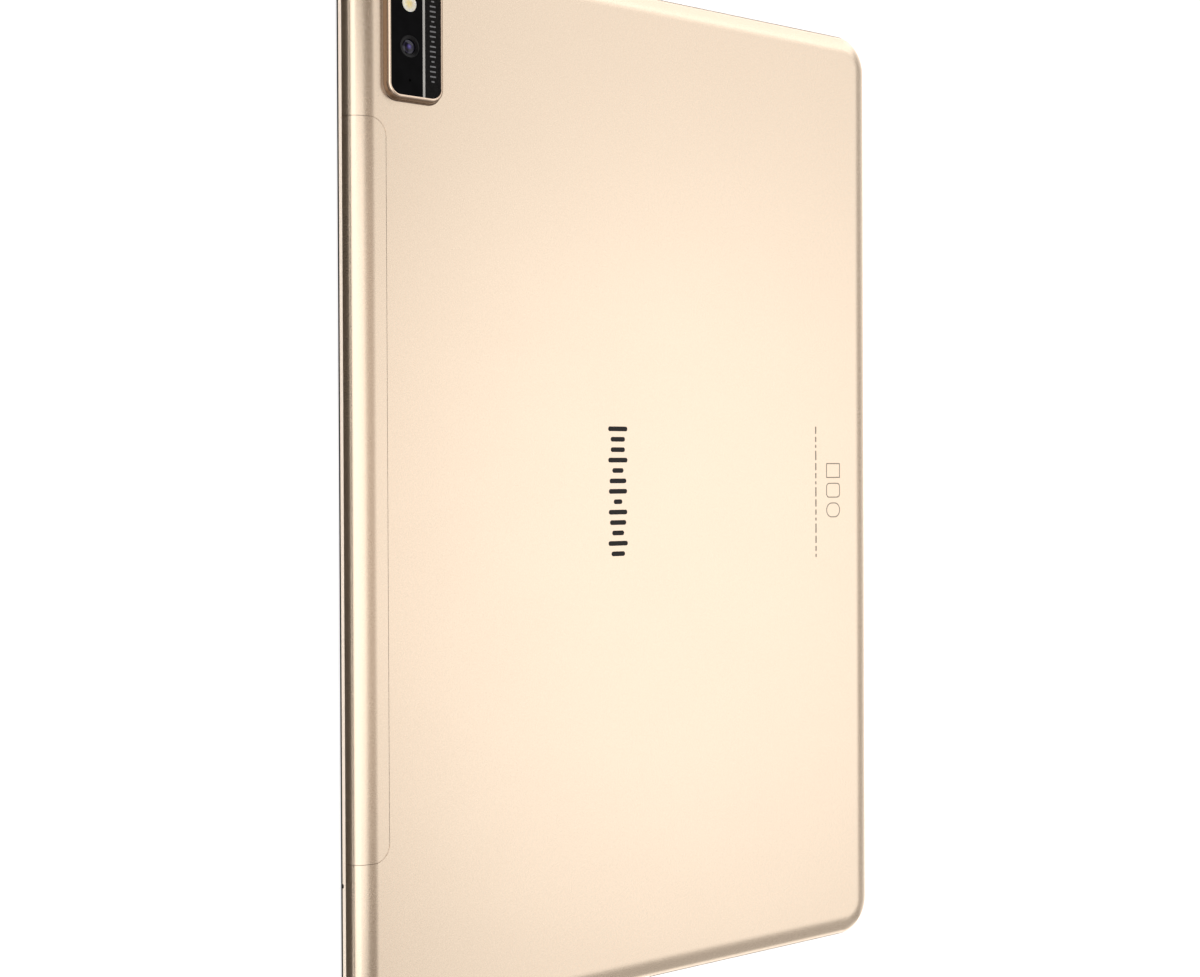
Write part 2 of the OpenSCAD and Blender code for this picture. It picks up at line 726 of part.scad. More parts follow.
module usb_tongue() {
    x0 = -half_l + 1.5;
    x1 = -half_l + 0.7 + usb_depth - 0.4;
    color(BLACK) {
        box([x0, -3.35, usb_z - 0.35], [x1 - 1.2, 3.35, usb_z + 0.35]);
        translate([0, 0, usb_z]) stadium(usb_w - 0.7, usb_h - 0.7, x1 - 1.2 - EPS, x1);
    }
}

// The jack's housing, grown by a gap on its sides to cut its pocket in the shell.
module jack_block(gap) {
    x0 = -half_l + jack_in;
    box([x0 - gap, jack_y - 3 - gap, plate_top + 0.05], [x0 + jack_depth + 1, jack_y + 3 + gap, roof - 0.05]);
}

module headphone_jack() {
    x0 = -half_l + jack_in;
    color(BLACK) difference() {
        jack_block(0);
        translate([x0 - 1, jack_y, jack_z]) rotate([0, 90, 0]) cylinder(r = jack_r, h = jack_depth + 1);
        box([x0 + 5, jack_y - 4, jack_z - 0.5], [x0 + 8, jack_y - 2.4, jack_z + 0.5]);
    }
}

// ---- Sound ----

module speaker_box(s) {
    x0 = half_l - 1.6 - speaker_depth;
    x1 = half_l - 1.6;
    low_y = speaker_y - speaker_l / 2;
    high_y = speaker_y + speaker_l / 2;
    scale_side = s > 0 ? 0 : 1;
    color(CHARCOAL) mirror([scale_side, 0, 0]) difference() {
        union() {
            box([x0, low_y, board_z], [x1, high_y, 5.2]);
            box([x0, low_y + 2, 5.2 - EPS], [x1 - 3, high_y - 2, 6]);
        }
        translate([x0 + 6, speaker_y, 5.6]) cylinder(d = 9, h = 1);
        // Sound duct that faces the holes in the shell.
        box([x1 - 2, low_y + 2.5, grille_z - 0.8], [x1 + 1, high_y - 2.5, grille_z + 0.8]);
    }
}

module speaker_top() {
    speaker_box(1);
}

module speaker_bottom() {
    speaker_box(-1);
}

module speaker_meshes() {
    reach = 5 * hole_pitch + 1.2;
    color(BLACK) for (s = [-1, 1])
        box([s * (half_l - wall - 0.2) - 0.08, speaker_y - reach, grille_z - 0.75],
            [s * (half_l - wall - 0.2) + 0.08, speaker_y + reach, grille_z + 0.75]);
}

module speaker_wires() {
    start_y = speaker_y + speaker_l / 2;
    top_x = half_l - 1.6 - speaker_depth + 1.5;
    low_x = -half_l + 12;
    color("firebrick") for (d = [0, 1.1]) {
        wire([[top_x + d, start_y, 4.6], [top_x + d, -31, 4.6]], 0.7);
        wire([[low_x + d, start_y, 4.6], [low_x + d, -28.5, 4.6]], 0.7);
    }
    color("white") {
        box([top_x - 1, -31, board_top], [top_x + 2, -28.5, 5]);
        box([low_x - 1, -28.5, board_top], [low_x + 2, -26, 5]);
    }
}

module microphones() {
    color(STEEL) {
        box([mic_x - 1.8, mic_y - 1.3, plate_top], [mic_x + 1.8, mic_y + 1.1, plate_top + 1]);
        box([-half_l + 3.2, far_mic_y - 1.3, board_top], [-half_l + 6, far_mic_y + 1.3, board_top + 1]);
    }
}

// ---- Radio ----

module antenna_flexes() {
    gap = wall + 0.02;
    skin = gap + 0.12;
    outer = shell_edge(gap, band_top + tongue_h + 0.1);
    inner = shell_edge(skin, band_top + tongue_h + 0.1);
    section = [for (p = concat(outer, [for (i = [len(inner) - 1:-1:0]) inner[i]])) [-p[0], p[1]]];
    strip_l = 46;
    color(FLEX_AMBER) for (x = [26, -72])
        translate([x, half_w, 0]) rotate([90, 0, 90]) linear_extrude(strip_l) polygon(section);
}

module coax_cables() {
    z = 4.2;
    y0 = half_w - 11.5;
    d = 0.8;
    color(CHARCOAL) {
        wire([[92, 54, z], [92, y0, z], [50, y0, z], [50, y0 + 5, z + 1]], d);
        wire([[82, 54, z], [82, y0 - 1.4, z], [-48, y0 - 1.4, z], [-48, y0 + 5, z + 1]], d);
    }
    color(GOLD) for (x = [92, 82]) translate([x, 53.6, board_top]) cylinder(d = 2, h = 1.2);
}

module board_screws() {
    head_d = 2.8;
    head_h = 0.6;
    color(STEEL) for (place = screw_places()) translate([place[0], place[1], 0]) difference() {
        union() {
            translate([0, 0, board_top]) cylinder(d = head_d, h = head_h);
            translate([0, 0, glass_t + 0.6]) cylinder(d = 1.16, h = board_top - glass_t - 0.6 + EPS);
        }
        for (turn = [0, 90]) rotate([0, 0, turn])
            box([-0.7, -0.15, board_top + head_h - 0.3], [0.7, 0.15, board_top + 1]);
    }
}

rear_cover();
antenna_cover();
front_frame();
front_glass();
glass_tape();
display_panel();
backlight_unit();
support_plate();
camera_bezel();
camera_window();
window_divider();
rear_lens_ring();
rear_lens();
camera_gasket();
rear_camera_module();
rear_camera_flex();
flash_lens();
flash_led();
front_camera_module();
front_camera_flex();
power_button();
volume_rocker();
button_flex();
button_bracket();
card_tray();
card_socket();
card_contacts();
card_ejector();
battery_cells();
battery_tape();
battery_board();
battery_cable();
main_board();
board_chips();
shield_cans();
thermal_sheet();
board_flex();
display_flex();
touch_flex();
usb_board();
usb_port();
usb_tongue();
headphone_jack();
speaker_top();
speaker_bottom();
speaker_meshes();
speaker_wires();
microphones();
antenna_flexes();
coax_cables();
board_screws();
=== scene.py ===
"""Tablet computer lying on its screen, rear face up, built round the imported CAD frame. Units are metres."""

import bpy
import bmesh
import json
import math
from mathutils import Matrix, Vector


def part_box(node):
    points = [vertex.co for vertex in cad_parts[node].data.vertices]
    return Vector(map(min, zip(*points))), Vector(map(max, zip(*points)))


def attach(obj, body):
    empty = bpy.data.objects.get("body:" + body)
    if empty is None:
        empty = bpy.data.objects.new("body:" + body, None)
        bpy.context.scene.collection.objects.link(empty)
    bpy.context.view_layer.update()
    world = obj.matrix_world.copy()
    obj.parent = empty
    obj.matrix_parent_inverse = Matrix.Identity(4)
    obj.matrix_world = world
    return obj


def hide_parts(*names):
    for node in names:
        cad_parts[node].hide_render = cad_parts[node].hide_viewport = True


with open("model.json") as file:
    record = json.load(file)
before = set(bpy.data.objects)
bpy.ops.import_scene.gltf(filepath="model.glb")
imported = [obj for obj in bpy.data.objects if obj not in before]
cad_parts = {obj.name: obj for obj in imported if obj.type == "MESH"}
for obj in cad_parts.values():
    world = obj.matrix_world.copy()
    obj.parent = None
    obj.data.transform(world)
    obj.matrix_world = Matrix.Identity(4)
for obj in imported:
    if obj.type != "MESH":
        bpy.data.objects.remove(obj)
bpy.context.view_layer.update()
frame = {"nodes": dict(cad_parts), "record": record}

MM = 0.001
HOUSING, POWER_KEY, VOLUME_KEY, TRAY = "housing", "power_key", "volume_key", "tray"

# ---- Sizes, from the frame and from the part's own edge profile ----

shell_low, shell_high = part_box("rear_cover")
glass_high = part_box("front_glass")[1]
antenna_low, antenna_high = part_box("antenna_cover")
bezel_low, bezel_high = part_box("camera_bezel")
window_low, window_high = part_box("camera_window")
ring_low, ring_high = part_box("rear_lens_ring")
lens_low, lens_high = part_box("rear_lens")
flash_low, flash_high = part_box("flash_lens")
HALF_L = shell_high.x
HALF_W = shell_high.y
BODY_T = shell_high.z
BAND_TOP = shell_low.z
WALL = 1.0 * MM
ROOF = BODY_T - WALL
CORNER_R = 9.5 * MM
SHOULDER_R = 3.0 * MM
RAMP = math.radians(12)
CREASE_IN = 4.8 * MM
RAMP_IN = SHOULDER_R * (1 - math.sin(RAMP))
SIDE_TOP = BODY_T - SHOULDER_R * math.cos(RAMP) - (CREASE_IN - RAMP_IN) * math.tan(RAMP)
BODY_SIZE = (HALF_L, HALF_W, CORNER_R)
ANTENNA_R = 4.0 * MM
ANTENNA_OVER = 9 * MM
SEAM = 0.08 * MM
SEAM_EDGE = 0.035 * MM
KEY_Z = 4.1 * MM
KEY_H = 2.0 * MM
GRILLE_Z = 3.8 * MM
HOLE_R = 0.65 * MM
SCREW_R = 0.6 * MM
HOLE_PITCH = 2.4 * MM
SPEAKER_Y = -52 * MM
USB_Z = 4.2 * MM
CORNER_STEPS = 24
ARC_STEPS = 18
CROWN_STEPS = 8
CREASE_STEPS = 5
SHARP = math.radians(34)

# The heights below which the side walls are coloured differently: a black strip at the edge band's foot,
# which is partly the dark screen edge and partly painted shade of the gap along it, and the shell's lowest
# strip in the band's pale plastic colour, so that the pale band looks wider. Then a wave texture's scale for
# 1 mm stripes.
BLACK_EDGE_AND_SHADE_TOP = 1.55 * MM
PALE_STRIP_TOP = 2.85 * MM
WAVE_SCALE = 0.314


# ---- Camera ----

def aim(eye, target, roll):
    """The rotation of a camera at eye that looks at target, with the row's +X up in the picture."""
    forward = (target - eye).normalized()
    right = forward.cross(Vector((1, 0, 0))).normalized()
    up = right.cross(forward)
    base = Matrix((right, up, -forward)).transposed()
    return (base @ Matrix.Rotation(roll, 3, "Z")).to_quaternion()


def make_camera():
    data = bpy.data.cameras.new("camera")
    data.lens = 53.77
    data.sensor_width = 36
    data.clip_start = 0.01
    data.clip_end = 100
    camera = bpy.data.objects.new("camera", data)
    bpy.context.scene.collection.objects.link(camera)
    camera.location = Vector((3.26, 279.99, 348.53)) * MM
    camera.rotation_mode = "QUATERNION"
    camera.rotation_quaternion = aim(camera.location, Vector((-0.0095, 12.88, 7.5)) * MM, -0.0042)
    bpy.context.scene.camera = camera


make_camera()

# ---- Mesh parts: each part is a list of points and a list of faces ----


def rounded_ring(half_x, half_y, radius, inset, z, centre=(0, 0), steps=CORNER_STEPS):
    """A rounded rectangle at height z, counter-clockwise from its +X side, moved inwards by inset."""
    reach_x, reach_y = half_x - inset, half_y - inset
    r = min(max(radius - inset, 0.04 * MM), reach_x, reach_y)
    points = []
    for corner, (sx, sy) in enumerate(((1, 1), (-1, 1), (-1, -1), (1, -1))):
        for step in range(steps + 1):
            a = math.radians(90 * (corner + step / steps))
            x = centre[0] + sx * (reach_x - r) + r * math.cos(a)
            y = centre[1] + sy * (reach_y - r) + r * math.sin(a)
            points.append(Vector((x, y, z)))
    return points


def circle_ring(centre, r, z, steps=64):
    turns = [2 * math.pi * i / steps for i in range(steps)]
    return [Vector((centre[0] + r * math.cos(a), centre[1] + r * math.sin(a), z)) for a in turns]


def bridged(rings, closed=False, caps=(True, True)):
    """A skin over rings that have the same number of points; the outside is on the right going up."""
    n = len(rings[0])
    points = [p for ring in rings for p in ring]
    faces = []
    for i in range(len(rings) if closed else len(rings) - 1):
        a, b = i * n, (i + 1) % len(rings) * n
        faces += [(a + k, a + (k + 1) % n, b + (k + 1) % n, b + k) for k in range(n)]
    if not closed and caps[0]:
        faces.append(tuple(range(n - 1, -1, -1)))
    if not closed and caps[1]:
        faces.append(tuple(range(len(points) - n, len(points))))
    return points, faces


def loft(size, profile, centre=(0, 0), steps=CORNER_STEPS, closed=False):
    """A rounded rectangle of (half_x, half_y, radius), whose edge follows (inset, height) points."""
    return bridged([rounded_ring(*size, inset, z, centre, steps) for inset, z in profile], closed)


def plate(size, low, high, centre=(0, 0), steps=CORNER_STEPS):
    """A rounded rectangle with upright edges."""
    return loft(size, [(0, low), (0, high)], centre, steps)


def turned(profile, centre, closed=False, steps=64):
    """A round part from its (radius, height) profile."""
    rings = [circle_ring(centre, max(r, 0.01 * MM), z, steps) for r, z in profile]
    return bridged(rings, closed)


def block(low, high, edge=0.0):
    """A box with small rounds on its upright edges and chamfers on its rims."""
    half_x, half_y = (high[0] - low[0]) / 2, (high[1] - low[1]) / 2
    centre = ((high[0] + low[0]) / 2, (high[1] + low[1]) / 2)
    if not edge:
        rings = [(0, low[2]), (0, high[2])]
    else:
        rings = [(edge, low[2]), (0, low[2] + edge), (0, high[2] - edge), (edge, high[2])]
    return loft((half_x, half_y, 2 * edge), rings, centre, 3)


def sideways(part, sign):
    """Turns a part so that its own height runs along the row's X, outwards on that side."""
    points, faces = part
    return [Vector((sign * p.z, sign * p.x, p.y)) for p in points], faces


def moved(part, offset):
    points, faces = part
    return [p + Vector(offset) for p in points], faces


def slot_shape(y, z, length, height, profile, sign=1, steps=12):
    """A bar with round ends that points along X, from its (inset, distance from the middle) profile."""
    rings = [rounded_ring(length / 2, height / 2, height / 2, i, x, (0, 0), steps) for i, x in profile]
    return moved(sideways(bridged(rings), sign), (0, y, z))


def side_hole(y, z, r, profile, sign, steps=32):
    rings = [circle_ring((0, 0), r - i, x, steps) for i, x in profile]
    return moved(sideways(bridged(rings), sign), (0, y, z))


def mesh_object(name, *parts):
    points, faces = [], []
    for part_points, part_faces in parts:
        start = len(points)
        points += part_points
        faces += [tuple(start + i for i in face) for face in part_faces]
    mesh = bpy.data.meshes.new(name)
    mesh.from_pydata([p[:] for p in points], [], faces)
    mesh.update()
    made = bpy.data.objects.new(name, mesh)
    bpy.context.scene.collection.objects.link(made)
    return made


def evaluated(made):
    """Applies an object's modifiers."""
    bpy.context.view_layer.update()
    graph = bpy.context.evaluated_depsgraph_get()
    mesh = bpy.data.meshes.new_from_object(made.evaluated_get(graph), depsgraph=graph)
    made.modifiers.clear()
    old, made.data = made.data, mesh
    mesh.name = made.name
    bpy.data.meshes.remove(old)


def carve(made, *parts, how="DIFFERENCE"):
    tool = mesh_object("tool", *parts)
    step = made.modifiers.new("carve", "BOOLEAN")
    step.operation = how
    step.solver = "EXACT"
    step.object = tool
    evaluated(made)
    old = tool.data
    bpy.data.objects.remove(tool)
    bpy.data.meshes.remove(old)


def soften(made, width, chosen, segments=2):
    """Rounds the sharp edges whose ends are all chosen."""
    bm = bmesh.new()
    bm.from_mesh(made.data)
    bmesh.ops.remove_doubles(bm, verts=bm.verts, dist=0.0005 * MM)
    edges = []
    for edge in bm.edges:
        if len(edge.link_faces) == 2 and edge.calc_face_angle(0) > SHARP:
            if all(chosen(v.co) for v in edge.verts):
                edges.append(edge)
    bmesh.ops.bevel(bm, geom=edges, offset=width, segments=segments, profile=0.5,
                    affect="EDGES", clamp_overlap=True)
    bm.to_mesh(made.data)
    bm.free()


def shade(made):
    """Smooth shading that keeps sharp edges and leaves flat faces flat."""
    made.data.polygons.foreach_set("use_smooth", [True] * len(made.data.polygons))
    made.data.set_sharp_from_angle(angle=SHARP)
    step = made.modifiers.new("normals", "WEIGHTED_NORMAL")
    step.keep_sharp = True
    step.weight = 50
    evaluated(made)


def piece(made, material, body, slot, *nodes):
    shade(made)
    made.data.materials.clear()
    made.data.materials.append(material)
    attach(made, body)
    if nodes:
        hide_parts(*nodes)
    return made


# ---- Edge profile of the shell ----

# The ramp is very slightly crowned: it leaves the shoulder at one slope, meets the crease at a lower one
# and rolls over into the flat back. CROWN_R is the radius that makes the heights add up.
CREASE_R = 9.0 * MM
CROWN_START = math.radians(22)
CROWN_END = math.radians(6)
CROWN_SPAN = math.sin(CROWN_START) - math.sin(CROWN_END)
CROWN_RISE = math.cos(CROWN_END) - math.cos(CROWN_START)
CREASE_RISE = CREASE_R * (1 - math.cos(CROWN_END))
SHOULDER_LEAN = math.cos(CROWN_START) / (1 - math.sin(CROWN_START))
CROWN_R = CREASE_IN * SHOULDER_LEAN + CREASE_RISE - (BODY_T - SIDE_TOP)
CROWN_R /= CROWN_SPAN * SHOULDER_LEAN - CROWN_RISE


def shell_profile(off, z0):
    """(inset, height) points up the shell's edge, moved inwards by off, from z0 to the flat back."""
    points = [(off, z0), (off, (z0 + SIDE_TOP) / 2)]
    shoulder_r = (CREASE_IN - CROWN_R * CROWN_SPAN) / (1 - math.sin(CROWN_START))
    r = shoulder_r - off
    for i in range(ARC_STEPS + 1):
        a = (math.pi / 2 - CROWN_START) * i / ARC_STEPS
        points.append((shoulder_r - r * math.cos(a), SIDE_TOP + r * math.sin(a)))
    foot = points[-1]
    r = CROWN_R - off
    for i in range(1, CROWN_STEPS + 1):
        a = CROWN_START + (CROWN_END - CROWN_START) * i / CROWN_STEPS
        x = foot[0] + r * (math.sin(CROWN_START) - math.sin(a))
        points.append((x, foot[1] + r * (math.cos(a) - math.cos(CROWN_START))))
    end, top = points[-1], BODY_T - off
    r = CREASE_R - off
    for i in range(1, CREASE_STEPS + 1):
        a = CROWN_END * (1 - i / CREASE_STEPS)
        points.append((end[0] + r * (math.sin(CROWN_END) - math.sin(a)), top - r * (1 - math.cos(a))))
    points.append((points[-1][0] + 0.3 * MM, top))
    return points


def skin_inset(z):
    """How far in from the outline the shell's outer skin is at height z."""
    profile = shell_profile(0, BAND_TOP)
    for (x0, z0), (x1, z1) in zip(profile, profile[1:]):
        if z <= z1:
            return x0 + (x1 - x0) * max(0, z - z0) / max(z1 - z0, 1e-9)
    return profile[-1][0]


def outline_inset(p, half_x, half_y, radius, centre=(0, 0)):
    """How far in from a rounded rectangle's outline a point is, in plan."""
    dx = abs(p.x - centre[0]) - (half_x - radius)
    dy = abs(p.y - centre[1]) - (half_y - radius)
    return radius - math.hypot(max(dx, 0), max(dy, 0)) - min(max(dx, dy), 0)


def on_skin(p):
    inset = outline_inset(p, HALF_L, HALF_W, CORNER_R)
    if p.z > BODY_T - 0.002 * MM:
        return inset > CREASE_IN - 0.4 * MM
    return abs(inset - skin_inset(p.z)) < 0.02 * MM


def shell_part():
    inside = reversed(shell_profile(WALL, BAND_TOP))
    return loft(BODY_SIZE, [*inside, *shell_profile(0, BAND_TOP)])


def antenna_outline(gap):
    """The size and the middle of the seam's outline, which runs on past the long edge."""
    inner, outer = antenna_low.y - gap, HALF_W + ANTENNA_OVER
    return (antenna_high.x + gap, (outer - inner) / 2, ANTENNA_R + gap), (0, (outer + inner) / 2)


def antenna_prism(gap):
    size, middle = antenna_outline(gap)
    return plate(size, 0, BODY_T + 1.5 * MM, middle)


def on_seam(p, gap):
    size, middle = antenna_outline(gap)
    return on_skin(p) and abs(outline_inset(p, *size, middle)) < 0.01 * MM


# ---- Outside pieces ----

power_low, power_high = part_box("power_button")
volume_low, volume_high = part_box("volume_rocker")
tray_low, tray_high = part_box("card_tray")
jack_low, jack_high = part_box("headphone_jack")
FLANGE = 1.0 * MM
POWER_Y = (power_low.y + power_high.y) / 2
POWER_L = power_high.y - power_low.y - 2 * FLANGE
VOLUME_Y = (volume_low.y + volume_high.y) / 2
VOLUME_L = volume_high.y - volume_low.y - 2 * FLANGE
TRAY_Y = (tray_low.y + tray_high.y) / 2
TRAY_L = tray_high.y - tray_low.y
JACK_Y = (jack_low.y + jack_high.y) / 2
JACK_Z = 4.45 * MM
JACK_R = 1.8 * MM
FAR_MIC_Y = -12 * MM
WINDOW_X, WINDOW_Y = (window_low.x + window_high.x) / 2, (window_low.y + window_high.y) / 2
OPTIC_Y = (ring_low.y + ring_high.y) / 2
LENS_X = (ring_low.x + ring_high.x) / 2
FLASH_X = (flash_low.x + flash_high.x) / 2
MOUTHS = [
    (1, POWER_Y, KEY_Z, POWER_L / 2, KEY_H / 2),
    (1, VOLUME_Y, KEY_Z, VOLUME_L / 2, KEY_H / 2),
    (1, TRAY_Y, KEY_Z, TRAY_L / 2, KEY_H / 2),
    (-1, 0, USB_Z, 4.6 * MM, 1.75 * MM),
    (-1, JACK_Y, JACK_Z, 1.9 * MM, 1.9 * MM),
    (-1, FAR_MIC_Y, KEY_Z, 0.5 * MM, 0.5 * MM),
]
MOUTHS += [(s, SPEAKER_Y, GRILLE_Z, 5 * HOLE_PITCH + HOLE_R, HOLE_R) for s in (-1, 1)]


def at_mouth(p):
    """Whether a point is on the outer skin and at one of the openings in the short ends."""
    if not on_skin(p):
        return False
    for sign, y, z, half_y, half_z in MOUTHS:
        room = 0.3 * MM
        if sign * p.x > 0 and abs(p.y - y) < half_y + room and abs(p.z - z) < half_z + room:
            return True
    return False


def make_rear_cover():
    cover = mesh_object("rear_shell", shell_part())
    carve(cover, antenna_prism(SEAM))
    inside, outside = HALF_L - 3 * MM, HALF_L + 1 * MM
    gap = 0.1 * MM
    cuts = []
    for y, length in ((POWER_Y, POWER_L), (VOLUME_Y, VOLUME_L + gap), (TRAY_Y, TRAY_L)):
        cuts.append(slot_shape(y, KEY_Z, length, KEY_H, [(-gap, inside), (-gap, outside)]))
    cuts.append(slot_shape(0, USB_Z, 9.24 * MM, 3.46 * MM, [(0, inside), (0, outside)], -1))
    cuts.append(side_hole(JACK_Y, JACK_Z, JACK_R + gap, [(0, inside), (0, outside)], -1, 48))
    cuts.append(side_hole(FAR_MIC_Y, KEY_Z, 0.5 * MM, [(0, inside), (0, outside)], -1))
    for sign in (-1, 1):
        for i in range(-5, 6):
            y = SPEAKER_Y + i * HOLE_PITCH
            cuts.append(side_hole(y, GRILLE_Z, HOLE_R, [(0, inside), (0, outside)], sign, 24))
    spigot = (12.1 * MM, 5.6 * MM, 2.1 * MM)
    cuts.append(plate(spigot, ROOF - MM, BODY_T + MM, (WINDOW_X, WINDOW_Y)))
    carve(cover, *cuts)
    jack_room = (jack_high.x, jack_high.y + gap, jack_high.z)
    carve(cover, block((jack_low.x - gap, jack_low.y - gap, BAND_TOP), jack_room))
    soften(cover, 0.1 * MM, at_mouth)
    soften(cover, SEAM_EDGE, lambda p: on_seam(p, SEAM))
    ledge_y, ledge_x = antenna_low.y, 76 * MM
    ledge_low = (-ledge_x, ledge_y - 2 * MM, ROOF - 0.6 * MM)
    return joined(cover, block(ledge_low, (ledge_x, ledge_y + 0.8 * MM, ROOF), 0.1 * MM))


def merged(made, extra):
    """Moves one object's mesh into another's."""
    bm = bmesh.new()
    bm.from_mesh(made.data)
    bm.from_mesh(extra.data)
    bm.to_mesh(made.data)
    bm.free()
    old = extra.data
    bpy.data.objects.remove(extra)
    bpy.data.meshes.remove(old)
    return made


def joined(made, *parts):
    """Adds closed parts to an object's mesh."""
    return merged(made, mesh_object("extra", *parts))


def make_antenna_cover():
    cover = mesh_object("antenna_window", shell_part())
    carve(cover, antenna_prism(0), how="INTERSECT")
    soften(cover, SEAM_EDGE, lambda p: on_seam(p, 0))
    return cover


def screw_places():
    """The board screws' places, towards the two short ends."""
    x = HALF_L - 7.2 * MM
    return [(x, -27 * MM), (x, 15 * MM), (x, 51 * MM), (-x, -26 * MM), (-x, 28 * MM)]


def make_front_frame():
    low, top = glass_high.z, BAND_TOP
    recess = low + 0.15 * MM
    edge = [(0.12 * MM, low), (0.04 * MM, low + 0.04 * MM), (0, low + 0.12 * MM)]
    edge += [(0, top - 0.05 * MM), (0.05 * MM, top), (9.5 * MM, top), (9.5 * MM, low)]
    edge += [(6.5 * MM, low), (6.5 * MM, recess), (1.5 * MM, recess), (1.5 * MM, low)]
    ring = mesh_object("edge_band", loft(BODY_SIZE, edge, closed=True))
    camera_low, camera_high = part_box("front_camera_module")
    room, deep = 0.2 * MM, 5 * MM
    hole_high = (camera_high.x + room, camera_high.y + room, deep)
    hole = block((camera_low.x - room, camera_low.y - room, 0), hole_high)
    screw_hole = [(SCREW_R, 1.2 * MM), (SCREW_R, deep)]
    screws = [turned(screw_hole, place, steps=24) for place in screw_places()]
    mic_x, mic_y, mic_z, mic_r = -87.5 * MM, HALF_W - 3.7 * MM, 1.5 * MM, 0.5 * MM
    mic_hole = [(mic_r, mic_z - mic_r), (mic_r, deep)]
    carve(ring, hole, turned(mic_hole, (mic_x, mic_y), steps=24), *screws)
    points, faces = turned([(mic_r, 0), (mic_r, 6 * MM)], (0, 0), steps=24)
    carve(ring, ([Vector((mic_x - p.x, mic_y + p.z, mic_z + p.y)) for p in points], faces))

    def at_mic(p):
        near = abs(p.x - mic_x) < mic_r + 0.2 * MM
        return near and p.y > HALF_W - 0.01 * MM and p.z > low + 0.1 * MM

    soften(ring, 0.1 * MM, at_mic)
    lip = [(1.15 * MM, top), (1.15 * MM, top + MM), (2.35 * MM, top + MM), (2.35 * MM, top)]
    tongue = mesh_object("tongue", loft(BODY_SIZE, lip, closed=True))
    gaps = [(1, TRAY_Y - 11 * MM, POWER_Y + 8 * MM), (-1, -8 * MM, JACK_Y + 5 * MM)]
    gaps.append((-1, FAR_MIC_Y - 3 * MM, FAR_MIC_Y + 3 * MM))
    gaps += [(s, SPEAKER_Y - 18 * MM, SPEAKER_Y + 18 * MM) for s in (-1, 1)]
    for sign, y0, y1 in gaps:
        ends = sorted((sign * (HALF_L - 5 * MM), sign * (HALF_L + MM)))
        carve(tongue, block((ends[0], y0, top - MM), (ends[1], y1, top + 3 * MM)))
    carve(tongue, hole)
    boss_r, boss_top = 2 * MM, top + 0.4 * MM
    boss = [(boss_r, top), (boss_r, boss_top), (SCREW_R, boss_top), (SCREW_R, top)]
    joined(ring, *[turned(boss, place, True) for place in screw_places()])
    return merged(ring, tongue)


def make_glass():
    set_back = 0.3 * MM
    half_x, half_y = glass_high.x - set_back, glass_high.y - set_back
    edge = [(0.2 * MM, 0), (0.1 * MM, 0.03 * MM), (0.03 * MM, 0.1 * MM), (0, 0.2 * MM)]
    edge += [(0, glass_high.z - 0.02 * MM), (0.02 * MM, glass_high.z)]
    size = (half_x, half_y, CORNER_R - (HALF_L - half_x))
    return mesh_object("cover_glass", loft(size, edge))


def make_bezel():
    half_x, half_y = (bezel_high.x - bezel_low.x) / 2, (bezel_high.y - bezel_low.y) / 2
    top = bezel_high.z
    seat = window_low.z
    edge = [(2.3 * MM, BODY_T), (0, BODY_T)]
    fillet = 0.32 * MM
    for i in range(1, 7):
        a = math.pi / 2 * i / 6
        edge.append((fillet * math.sin(a), BODY_T + 0.03 * MM + fillet * (1 - math.cos(a))))
    edge += [(0.42 * MM, BODY_T + 0.9 * MM), (0.52 * MM, top - 0.42 * MM), (0.62 * MM, top - 0.3 * MM)]
    edge += [(0.9 * MM, top - 0.06 * MM), (0.98 * MM, top - 0.015 * MM), (1.06 * MM, top)]
    edge += [(1.2 * MM, top), (1.27 * MM, top - 0.03 * MM), (1.28 * MM, top - 0.1 * MM)]
    edge += [(1.28 * MM, seat), (3.05 * MM, seat), (3.05 * MM, ROOF), (2.3 * MM, ROOF)]
    size = (half_x, half_y, 3.8 * MM)
    return mesh_object("camera_surround", loft(size, edge, (WINDOW_X, WINDOW_Y), closed=True))


def make_window():
    half_x, half_y = (window_high.x - window_low.x) / 2, (window_high.y - window_low.y) / 2
    top = window_high.z
    edge = [(0, window_low.z), (0, top - 0.1 * MM), (0.03 * MM, top - 0.03 * MM), (0.1 * MM, top)]
    pane = loft((half_x, half_y, 2.48 * MM), edge, (WINDOW_X, WINDOW_Y))
    window = mesh_object("window_glass", pane)
    divider_low, divider_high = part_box("window_divider")
    rim = 0.04 * MM
    holes = []
    for x, r in ((LENS_X, 2.525 * MM), (FLASH_X, 1.875 * MM), (WINDOW_X - 9.6 * MM, 0.25 * MM)):
        sides = [(r, 0), (r, top - rim), (r + rim, top), (r + rim, 12 * MM)]
        holes.append(turned(sides, (x, OPTIC_Y)))
    groove_high = (window_high.x + MM, divider_high.y, divider_high.z + MM)
    groove = block((window_low.x - MM, divider_low.y, divider_low.z), groove_high)
    carve(window, *holes, groove)
    return window


def make_lens_ring():
    top, low = ring_high.z, ring_low.z
    profile = [(2.5 * MM, low), (2.5 * MM, top - 0.05 * MM), (2.45 * MM, top)]
    profile += [(2.3 * MM, top), (2.26 * MM, top - 0.04 * MM)]
    for i in range(4):
        r = (2.18 - 0.13 * i) * MM
        z = top - (0.06 + 0.1 * i) * MM
        profile += [(r, z), (r - 0.02 * MM, z - 0.08 * MM)]
    profile += [(1.7 * MM, top - 0.42 * MM), (1.7 * MM, low)]
    return mesh_object("lens_surround", turned(profile, (LENS_X, OPTIC_Y), closed=True))


def make_lens():
    dome_r = 4 * MM
    rim_r = lens_high.x - LENS_X
    reach = math.asin(rim_r / dome_r)
    profile = [(rim_r, lens_low.z)]
    for i in range(12):
        a = reach * (1 - i / 12)
        profile.append((dome_r * math.sin(a), lens_high.z - dome_r * (1 - math.cos(a))))
    return mesh_object("main_lens", turned(profile, (LENS_X, OPTIC_Y)))


